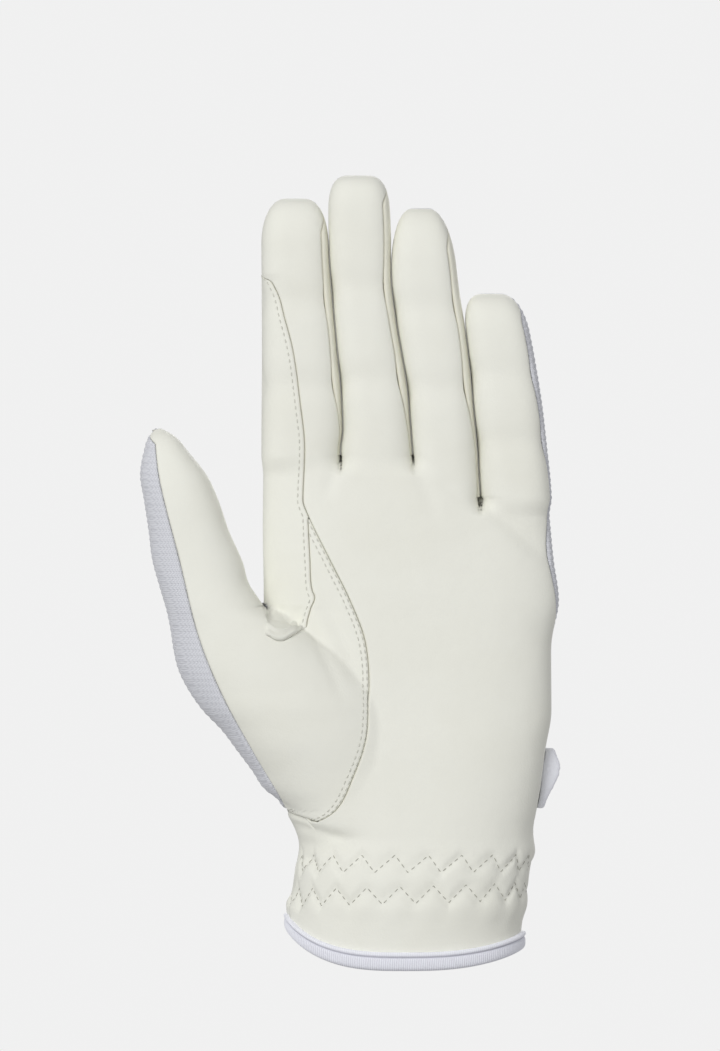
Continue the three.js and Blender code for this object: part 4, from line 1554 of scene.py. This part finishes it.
    def finger_back(self, finger: Finger) -> tuple[Patch, list[Array]]:
        """Knit on the back of a finger, and its root points with those of the strips beside it.

        Args:
            finger: which finger.

        Returns:
            The patch and the rows of root points, from left to right.
        """
        start = PI + (self.side_wrap if finger is INDEX else self.fourchette_back)
        end = 2 * PI - self.fourchette_back
        if finger is LITTLE:
            end = 2 * PI + float(self.right_turn(finger, self.crotch(finger))[0])
        turns = mix(start, end, eased(20, 0.3))
        root = self.root_points(finger, turns)
        z, close = self.finger_rows(finger, root[:, 2], 165)
        fade = self.fading(finger, z)
        left = PI + self.fourchette_back * fade
        if finger is INDEX:
            narrow = smooth(self.side_end - 0.053, self.side_end, z / self.hand.palm_length)
            left = mix(PI + self.side_wrap, PI + 0.3 * fade, narrow)
        right = 2 * PI - self.fourchette_back * fade
        if finger is LITTLE:
            right = 2 * PI + self.right_turn(finger, z)
        turn = mix(left, right, shares_of(turns)[None, :])
        turn[0] = turns
        patch = Patch(self.hand.finger_point(finger, z, turn, close))
        patch.roll_sides()
        patch.push *= close
        roots = [root]
        if finger is not INDEX:
            roots.insert(0, self.root_points(finger, np.linspace(PI, start, self.strip_columns)[:-1]))
        if finger is not LITTLE:
            roots.append(self.root_points(finger, np.linspace(end, 2 * PI, self.strip_columns)[1:]))
        return patch, roots

    def upper_back(self, top: Array) -> tuple[Patch, Array]:
        """Knit from the thumb's web to the finger roots.

        Args:
            top: points along the roots, which are its top row.

        Returns:
            The patch, and the turns of its lowest row.
        """
        hand = self.hand
        rightmost = int(np.argmax(top[:, 0])) + 1
        side = np.full(len(top), Side.BACK.value)
        side[rightmost:] = Side.PALM.value
        order = hand.ring_turn(top[:, 0], side, np.array(1.0), False)
        order[rightmost:] += 2 * PI
        order = np.where(order < PI - 0.5, order + 2 * PI, order)
        below = np.linspace(hand.web, self.roots_start, 78)[:-1]
        share = np.concatenate([below, np.linspace(self.roots_start, 1, 24)])
        right = 2 * PI + self.ulnar_turn(share, False)
        right += (order[-1] - right[-1]) * smooth(0.90, 1.0, share)
        turn = mix(order[0], right[:, None], shares_of(order)[None, :])
        points = hand.ring(turn, share[:, None], False)
        points[-1] = top
        patch = Patch(points)
        patch.roll_sides()
        return patch, turn[0]

    def lower_back(self, web: Array, web_turn: Array, every: Array) -> tuple[Patch, Array]:
        """Knit from the rim to the web, with the back of the thumb's mound and the cuff's shirring.

        Args:
            web: points of the hand's back at the web.
            web_turn: turns of those points.
            every: turns of the thumb's back at the web.

        Returns:
            The patch, and the points of the thumb's back in its top row.
        """
        hand = self.hand
        level = np.array(hand.web)
        thumb_web = hand.thumb_point(level, every)
        inner = hand.thumb_point(level, np.linspace(2 * PI - self.thumb_behind, 2 * PI, 7)[1:])
        bridge = hand.ring(np.linspace(PI, web_turn[0], 7)[:-1], level, False)
        top = np.concatenate([thumb_web, inner, bridge, web])
        between = np.full(len(inner) + len(bridge), Side.BACK.value)
        side = np.concatenate([side_at(np.sin(every)), between, side_at(np.sin(web_turn))])
        wrapped = len(top) - np.argmax((side < 0)[::-1])
        order = hand.ring_turn(top[:, 0], side, level, True)
        order[wrapped:] += 2 * PI
        order[wrapped - 1] = order[wrapped - 1] + (2 * PI if order[wrapped - 1] < PI / 2 else 0)
        order = np.where((order < PI / 2), order + 2 * PI, order)
        share = np.linspace(0.0, hand.web, 214)
        right = 2 * PI + self.ulnar_turn(share, True)
        left = mix(PI + self.wrap, self.seam_turn(KNIT_SEAM, share, True), smooth(0.286, 0.300, share))
        ease = smooth(0.62, 0.70, share)
        left += (order[0] - left[-1]) * ease
        right += (order[-1] - right[-1]) * ease
        turn = mix(left[:, None], right[:, None], shares_of(order)[None, :])
        points = hand.ring(turn, share[:, None], True)
        points[-1] = top
        patch = Patch(points)
        patch.push += SHIRRING.puff(turn, points[..., 2])
        patch.roll_sides()
        return patch, thumb_web

    def back(self, threads: "Threads") -> None:
        """Knit back: hand, thumb's back and outer edge, finger backs, with cross ribs.

        Args:
            threads: the finishes.
        """
        hand = self.hand
        patches, roots = [], []
        for finger in reversed(FINGERS):
            patch, root = self.finger_back(finger)
            patches.append(patch)
            roots.extend(root)
        upper, web_turn = self.upper_back(np.concatenate(roots))
        knit = float(self.thumb_top()[0][-1])
        every = mix(knit, 2 * PI - self.thumb_behind, eased(40, 0.3))
        lower, thumb_web = self.lower_back(upper.points[0], web_turn, every)
        share = self.thumb_rows(130)
        turn = mix(self.knit_turn(share)[:, None], 2 * PI - self.thumb_behind, shares_of(every)[None, :])
        points = hand.thumb_point(share[:, None], turn)
        points[0] = thumb_web
        patches += [upper, lower, self.capped(points)]
        for patch in patches:
            height = patch.points[..., 2]
            patch.push += self.knit_rib_depth * np.sin(2 * PI * height / self.knit_rib)
            patch.cloth[..., 0] = patch.points[..., 0] + 0.6 * patch.points[..., 1]
            patch.cloth[..., 1] = height
        placed, faces, crease, cloth = Skin(patches).build()
        cloth3 = np.concatenate([cloth, np.zeros((len(cloth), 1))], axis=1)
        high = placed[faces][:, :, 2].mean(axis=1) > hand.palm_length + 2.0
        for name, part, nodes in (("knit_back", faces[~high], ("back_panel",)), ("knit_fingers", faces[high], ())):
            used, local = np.unique(part, return_inverse=True)
            piece = make_object(name, placed[used], local.reshape(-1, 4), threads.looks["knit"],
                                {"crease": crease[used], "cloth": cloth3[used]})
            finish_piece(piece, nodes, self.wall)


@dataclass(frozen=True)
class Shirring:
    """Two rows of zigzag stitches round the cuff, and the puffs between them."""

    count: int = 22
    phase: float = 0.668
    lag: float = 0.19
    upper: float = 27.9
    lower: float = 17.6
    lower_rise: float = 1.0
    amplitude: float = 2.6
    depth: float = 0.5
    reach: float = 1.3

    def zigzag(self, turn: Array, row: int) -> Array:
        """Height of a zigzag row: its middle plus or minus amplitude * triangle wave of the turn.

        Args:
            turn: angle round the ring, 0 at the little finger edge, pi / 2 at the palm.
            row: 0 for the upper row, 1 for the lower.

        Returns:
            Height in millimetres.
        """
        t = self.count * turn / (2 * PI) - self.phase - self.lag * row
        wave = 4 * np.abs(t - np.floor(t + 0.5)) - 1
        low = self.lower + self.lower_rise * (1 + np.cos(turn))
        return self.upper + self.amplitude * wave if row == 0 else low - self.amplitude * wave

    def puff(self, turn: Array, z: Array) -> Array:
        """Push: high between the rows, low along each stitch line, gone above and below them.

        Args:
            turn: angle round the ring, 0 at the little finger edge, pi / 2 at the palm.
            z: height.

        Returns:
            Push along the normal.
        """
        near = [np.abs(z - self.zigzag(turn, row)) * 0.68 for row in (0, 1)]
        gap = np.minimum(*near)
        band = smooth(self.lower - 8, self.lower - 2, z) * (1 - smooth(self.upper + 2.5, self.upper + 8, z))
        lines = np.exp(-((gap / self.reach) ** 2))
        folds = 0.5 + 0.5 * np.cos(self.count * turn - 0.9 + 0.10 * z)
        below = smooth(self.lower - 12, self.lower - 4, z) * (1 - smooth(self.lower - 3, self.lower + 2, z))
        return self.depth * (band * (0.8 - 1.5 * lines) + 0.55 * below * folds)


SHIRRING = Shirring()


@dataclass
class Binding:
    """Ribbed tape folded over the rim, with a rolled lip along its upper edge."""

    hand: FilledHand
    squeeze: float = 0.8
    rib: float = 0.65
    rib_depth: float = 0.12

    def build(self, threads: "Threads") -> None:
        """Carry the tape's section round the rim.

        Args:
            threads: the finishes.
        """
        section = np.array([
            (-1.2, 4.9, 0), (-0.2, 5.45, 0), (0.55, 5.5, 0.2), (1.1, 5.3, 0.4), (1.42, 4.85, 0.4), (1.45, 4.4, 0.4),
            (1.25, 3.95, 0.4), (0.86, 3.68, 0.0), (0.78, 3.5, 0.0), (0.98, 3.25, 0.6), (1.15, 2.8, 1), (1.22, 2.2, 1),
            (1.25, 1.4, 1), (1.22, 0.6, 1), (1.12, -0.1, 1), (0.85, -0.75, 1), (0.35, -1.2, 1), (-0.5, -1.42, 1),
            (-1.2, -1.25, 1), (-1.75, -0.7, 1), (-1.95, 0.2, 1), (-2.0, 1.6, 1), (-1.95, 3.2, 1), (-1.8, 4.3, 1),
            (-1.2, 4.9, 0),
        ])
        lengths = run_of(section[:, :2])
        place = np.linspace(0, lengths[-1], 41)
        offset, rise, ribbed = (np.interp(place, lengths, section[:, k]) for k in range(3))
        rise = rise * self.squeeze
        turn = np.linspace(0, 2 * PI, 1300)
        base = self.hand.ring(turn, 0 * turn + 0.018, True)
        step = np.gradient(base[:, :2], axis=0)
        step[0] = step[-1] = base[1, :2] - base[-2, :2]
        outward = unit(np.stack([step[:, 1], -step[:, 0]], axis=-1))
        middle = base[:, :2].mean(axis=0)
        outward *= np.sign(np.sum(outward * (base[:, :2] - middle), axis=1, keepdims=True))
        length = run_of(base[:, :2])
        count = round(length[-1] / self.rib)
        phase = 2 * PI * count * length / length[-1]
        ribs = self.rib_depth * np.cos(phase[None, :] + 0.5 * rise[:, None]) * ribbed[:, None]
        share = np.maximum(rise, 0)[:, None] / self.hand.palm_length
        points = self.hand.ring(np.broadcast_to(turn, (len(rise), len(turn))), share + 0 * turn[None, :], True)
        points[..., 2] += np.minimum(rise, 0)[:, None]
        shift = offset[:, None] + ribs
        points[..., 0] += shift * outward[None, :, 0]
        points[..., 1] += shift * outward[None, :, 1]
        # Masks for painted shade: the valleys between ribs and the groove under the rolled lip.
        between = (0.5 - 0.5 * np.cos(phase[None, :] + 0.5 * rise[:, None])) * ribbed[:, None] * 0.45
        under_lip_shade = np.exp(-(((rise - 2.88) / 0.26) ** 2)) * (offset > 0)
        patch = Patch(points[::-1])
        patch.crease += np.maximum(between, under_lip_shade[:, None])[::-1]
        sew_piece("cuff_binding_tape", [patch], threads.looks["tape"], ("cuff_binding",))


@dataclass
class Strap:
    """Closure strap over the back of the wrist, bound all round with tape."""

    hand: FilledHand
    width: float = 18.0
    thickness: float = 1.8
    height: float = 53.0
    stand_off: float = 1.3
    edge: float = 2.6
    seat: float = 0.45
    start: float = -0.02
    end: float = -2.25

    def point(self, s: Array, t: Array, offset: Array) -> Array:
        """Place on the strap: s along it from the free end, t across it from -1 to 1, offset outwards.

        Args:
            s: share of its length from the free end.
            t: -1 at its lower edge, 1 at its upper.
            offset: distance outwards.

        Returns:
            Points, with x, y and z in the last axis.
        """
        s, t, offset = np.broadcast_arrays(s, t, offset)
        turn = mix(self.start, self.end, s)
        out = self.seat + offset + self.stand_off * (1 - smooth(0, 0.16, s)) * self.curl(t)
        z = self.height + t * self.width / 2
        share = z / self.hand.palm_length
        left, right = self.hand.hand_edges(share)
        c, sn = rounded(turn, HAND.at("full", share))
        x = (left + right) / 2 + (right - left) / 2 * c
        y = self.hand.depth(x, share, -1.0, z)
        return np.stack([x + out * c, y + out * np.abs(sn), z], axis=-1)

    def curl(self, t: Array) -> Array:
        """How much the free end stands off across the strap: most a little above its middle."""
        return smooth(-0.95, 0.25, t) * (1 - 0.6 * smooth(0.4, 1.0, t))

    def blunt(self, s: Array, length: float) -> Array:
        """Half width towards the rounded free end: sqrt(1 - (1 - s / length)^2.4)."""
        return np.sqrt(np.clip(1 - np.maximum(0, 1 - s / length) ** 2.4, 0.0, None))

    def build(self, threads: "Threads") -> None:
        """Make the plate and the tape round it.

        Args:
            threads: the finishes.
        """
        s = np.concatenate([0.05 + 0.05 * np.linspace(0, 1, 10) ** 1.5, np.linspace(0.10, 0.985, 90)[1:]])
        reach = (1 - self.edge / self.width) * self.blunt(s - 0.03, 0.06)
        loop = np.linspace(0, 2 * PI, 33)
        c, h = rounded(loop, 6.0)
        points = self.point(s[:, None], c[None, :] * reach[:, None],
                            self.thickness * (0.5 + 0.36 * h[None, :]))
        sew_piece("closure_strap_fabric", [Patch(points)], threads.looks["strap"], ("wrist_strap",))
        q = np.concatenate([np.linspace(0, 0.12, 40) ** 1.6 / 0.12**0.6, np.linspace(0.12, 1, 150)[1:]])
        path_s = np.concatenate([q[::-1], q[1:], np.ones(12)])
        side = np.concatenate([np.ones(len(q)), -np.ones(len(q) - 1), np.linspace(-1, 1, 14)[1:-1]])
        wide = side * self.blunt(path_s, 0.07)
        path_s = np.append(path_s, path_s[0])
        wide = np.append(wide, wide[0])
        section = np.linspace(0, 2 * PI, 17)
        sc, sh = rounded(section, 3.0)
        centre = self.point(path_s, wide, self.thickness / 2)
        inner = self.point(mix(0.045, 0.965, path_s), wide * (1 - 2 * self.edge / self.width), self.thickness / 2)
        inward = unit(inner - centre)
        outward = unit(self.point(path_s, wide, self.thickness / 2 + 0.1) - centre)
        length = run_of(centre)
        ribs = 1 + 0.05 * np.cos(2 * PI * np.round(length[-1] / 0.8) * length / length[-1])
        half = self.edge / 2
        tube = (centre + inward * half)[:, None, :]
        tube = tube + (ribs[:, None] * sc[None, :])[..., None] * half * inward[:, None, :]
        fat = 1 + 1.4 * (1 - smooth(0.0, 0.09, path_s)) * self.curl(wide)
        tube = tube + (fat * ribs)[:, None, None] * sh[None, :, None] * (self.thickness * 0.62) * outward[:, None, :]
        sew_piece("closure_strap_tape", [Patch(tube)], threads.looks["tape"], ("wrist_strap_binding",))


@dataclass
class Threads:
    """Stitches of the visible seams, laid on the finished panels."""

    looks: dict[str, bpy.types.Material]
    cuff: Patch | None = None
    cuff_turns: Array | None = None
    mound: Patch | None = None
    strip: Patch | None = None
    side_palm: Patch | None = None
    side_column: Patch | None = None

    def stitch(self, name: str, line: Array, outward: Array, pitch: float, length: float, width: float,
               look: str = "thread") -> None:
        """Lay stitches along a line: each is a small spindle, arched and sunk at both ends.

        Args:
            name: the piece's name.
            line: points along the seam.
            outward: normals along the seam.
            pitch: distance from stitch to stitch.
            length: length of a stitch.
            width: its half width.
            look: which finish.
        """
        run = run_of(line)
        count = max(2, int(run[-1] / pitch))
        places = (np.arange(count) + 0.5) * run[-1] / count
        a = np.linspace(-1, 1, 7)
        at = places[:, None] + a[None, :] * length / 2
        spine = np.stack([np.interp(at, run, line[:, k]) for k in range(3)], axis=-1)
        up = unit(np.stack([np.interp(at, run, outward[:, k]) for k in range(3)], axis=-1))
        ahead = unit(spine[:, -1:] - spine[:, :1])
        across = np.cross(up, np.broadcast_to(ahead, up.shape))
        thick = np.sqrt(np.clip(1 - a**2, 0, 1))[None, :, None, None]
        lift = (0.16 - 0.30 * a**2)[None, :, None]
        angle = np.linspace(0, 2 * PI, 7)[:-1][None, None, :, None]
        ring = np.cos(angle) * across[:, :, None] + np.sin(angle) * up[:, :, None]
        points = (spine + up * lift * width * 2)[:, :, None] + ring * thick * width
        index = np.arange(points[..., 0].size).reshape(points.shape[:3])
        wrap = np.roll(index, -1, axis=2)
        quads = np.stack([index[:, :-1], wrap[:, :-1], wrap[:, 1:], index[:, 1:]], axis=-1).reshape(-1, 4)
        piece = make_object(name, points.reshape(-1, 3), quads, self.looks[look])
        finish_piece(piece)

    @staticmethod
    def normals(patch: Patch, row: Array, column: Array) -> Array:
        """Normals of a finished patch at fractional rows and columns.

        Args:
            patch: the patch.
            row: fractional rows.
            column: fractional columns.

        Returns:
            A unit vector a place.
        """
        e = 0.5
        along_row = patch.sample(row, column + e) - patch.sample(row, column - e)
        along_column = patch.sample(row + e, column) - patch.sample(row - e, column)
        return unit(np.cross(along_column, along_row))

    def along_edge(self, name: str, patches: list[Patch], distance: float, pitch: float = 2.0) -> None:
        """Row of stitches beside the first column of patches that go on from one another.

        Args:
            name: the piece's name.
            patches: the patches, from the lowest.
            distance: distance from the edge.
            pitch: distance from stitch to stitch.
        """
        lines, ups = [], []
        for patch in patches:
            row, column = patch.line_beside(distance)
            lines.append(patch.sample(row, column))
            ups.append(self.normals(patch, row, column))
        self.stitch(name, np.concatenate(lines), np.concatenate(ups), pitch, 0.72 * pitch, 0.2)

    def zigzags(self) -> None:
        """Zigzag rows of the cuff."""
        patch = self.cuff
        turn = np.linspace(-0.55, PI + 0.55, 1500)
        columns = np.interp(turn, self.cuff_turns, np.arange(len(self.cuff_turns)))
        heights = patch.points[..., 2]
        for row, name in ((0, "upper"), (1, "lower")):
            z = SHIRRING.zigzag(turn, row)
            near = np.clip(np.round(columns).astype(int), 0, heights.shape[1] - 1)
            low, high = heights[0, near], heights[-1, near]
            rows = (z - low) / (high - low) * (heights.shape[0] - 1)
            for _ in range(3):
                i = np.clip(rows.astype(int), 0, heights.shape[0] - 2)
                here = heights[i, near]
                rows = i + (z - here) / np.maximum(heights[i + 1, near] - here, 1e-6)
                rows = np.clip(rows, 1, heights.shape[0] - 2)
            line = patch.sample(rows, columns)
            up = self.normals(patch, rows, columns)
            self.stitch(f"cuff_zigzag_{name}", line, up, 2.3, 1.6, 0.15, "shirring")

    def sew(self) -> None:
        """Lay every visible row of stitches."""
        self.along_edge("thumb_seam_stitches_outer", [self.mound, self.strip], 0.6)
        self.along_edge("thumb_seam_stitches_inner", [self.mound, self.strip], 1.9)
        self.along_edge("index_side_stitches", [self.side_palm, self.side_column], 1.6)
        self.zigzags()


@dataclass
class Studio:
    """Camera, pale floor and dome, and soft lights."""

    hand: FilledHand
    scale: float = 0.3
    centre_px: tuple[float, float] = (360.0, 525.5)
    origin_px: tuple[float, float] = (408.0, 955.0)
    frame_height_px: float = 1051.0
    distance: float = 4.0
    backdrop: float = 0.875
    floor_height: float = -300.0
    dome_radius: float = 7500.0

    def build(self) -> None:
        """Set the whole studio up."""
        self.camera()
        self.stage()
        self.lights()

    def camera(self) -> None:
        """Long lens, level, from the palm's side, at the photograph's framing."""
        data = bpy.data.cameras.new("camera")
        data.sensor_fit = "VERTICAL"
        data.sensor_height = 36.0
        data.lens = 36.0 * self.distance / (self.frame_height_px * self.scale * MM)
        data.clip_start = 0.05
        data.clip_end = 50
        camera = bpy.data.objects.new("camera", data)
        x = (self.centre_px[0] - self.origin_px[0]) * self.scale * MM
        z = (self.origin_px[1] - self.centre_px[1]) * self.scale * MM
        camera.location = (x, -self.distance, z)
        camera.rotation_euler = (PI / 2, 0, 0)
        bpy.context.scene.collection.objects.link(camera)
        bpy.context.scene.camera = camera

    def stage(self) -> None:
        """A wide pale disc under the glove that rises into a dome of the same shade all round."""
        glow = bpy.data.materials.new("pale_backdrop")
        glow.use_nodes = True
        tree = glow.node_tree
        tree.nodes.clear()
        light = tree.nodes.new("ShaderNodeEmission")
        light.inputs["Color"].default_value = (self.backdrop, self.backdrop, self.backdrop, 1)
        out = tree.nodes.new("ShaderNodeOutputMaterial")
        tree.links.new(light.outputs[0], out.inputs["Surface"])
        around = np.linspace(0, 2 * PI, 97)
        rise = np.linspace(-0.03, PI / 2, 40)
        dome = np.stack([
            self.dome_radius * np.cos(rise)[:, None] * np.cos(around)[None, :],
            self.dome_radius * np.cos(rise)[:, None] * np.sin(around)[None, :],
            np.maximum(self.dome_radius * np.sin(rise)[:, None], self.floor_height) + 0 * around[None, :],
        ], axis=-1)
        floor = np.array([0.0, 0.0, self.floor_height])
        centre = np.broadcast_to(floor, (1, len(around), 3))
        ring = np.array([0.1, 0.4, 0.7])[:, None, None] * dome[:1] * np.array([1, 1, 0]) + floor
        points = np.concatenate([centre, ring, dome])
        placed, faces, _, _ = Skin([Patch(points)]).build()
        piece = make_object("backdrop", placed, faces, glow)
        for flag in ("visible_diffuse", "visible_glossy", "visible_shadow", "visible_transmission"):
            setattr(piece, flag, False)

    def lights(self) -> None:
        """A broad key from the upper left, a softer fill from the right, and an even sky."""
        world = bpy.data.worlds.new("sky")
        world.use_nodes = True
        world.node_tree.nodes["Background"].inputs["Color"].default_value = (1.0, 1.0, 1.0, 1)
        world.node_tree.nodes["Background"].inputs["Strength"].default_value = 0.40
        bpy.context.scene.world = world
        for name, place, size, power, colour in (
            ("key", (-0.75, -1.45, 0.65), 0.9, 16.9, (1.0, 1.0, 0.985)),
            ("fill", (1.3, -1.0, 0.15), 1.0, 2.8, (1.0, 1.0, 1.0)),
            ("back", (0.2, 1.5, 0.8), 1.2, 15.0, (1.0, 1.0, 1.0)),
        ):
            data = bpy.data.lights.new(name, "AREA")
            data.size = size
            data.energy = power
            data.color = colour
            lamp = bpy.data.objects.new(name, data)
            lamp.location = place
            aim = np.array([-0.01, 0, 0.12]) - np.array(place)
            lamp.rotation_euler = (math.atan2(math.hypot(aim[0], aim[1]), -aim[2]), 0, math.atan2(-aim[0], aim[1]))
            bpy.context.scene.collection.objects.link(lamp)


def main() -> None:
    """Build the studio, the panels, the trims and the stitches."""
    logging.basicConfig(level=logging.INFO, format="%(name)s: %(message)s")
    hand = FilledHand()
    looks = {
        "leather": LeatherFinish("cream_leather", (0.84, 0.84, 0.775), (0.62, 0.60, 0.47)).build(),
        # Fourchette copy of the leather with a lighter shade colour, lifted so the strips in shade look brighter:
        # painted light.
        "fourchette": LeatherFinish("fourchette_leather", (0.84, 0.83, 0.73), (0.72, 0.69, 0.55)).build(),
        "knit": KnitFinish("white_knit", (0.80, 0.81, 0.855), (0.45, 0.46, 0.52)).build(),
        "tape": TapeFinish("white_tape", (0.91, 0.92, 0.99), (0.50, 0.50, 0.58)).build(),
        "strap": TapeFinish("strap_fabric", (0.90, 0.91, 0.96), (0.42, 0.43, 0.48)).build(),
        # Both thread colours are darker than the cream leather: painted shade of the stitch holes, strongest on the
        # shirring thread.
        "thread": ThreadFinish("seam_thread", (0.72, 0.72, 0.65)).build(),
        "shirring": ThreadFinish("shirring_thread", (0.48, 0.48, 0.42)).build(),
    }
    bpy.context.scene.view_settings.view_transform = "Standard"
    Studio(hand).build()
    threads = Threads(looks)
    panels = Panels(hand, Relief(hand))
    panels.palm(threads)
    panels.thumb(threads)
    panels.side(threads)
    panels.fourchettes(threads)
    panels.back(threads)
    Binding(hand).build(threads)
    Strap(hand).build(threads)
    threads.sew()


if __name__ == "__main__":
    main()
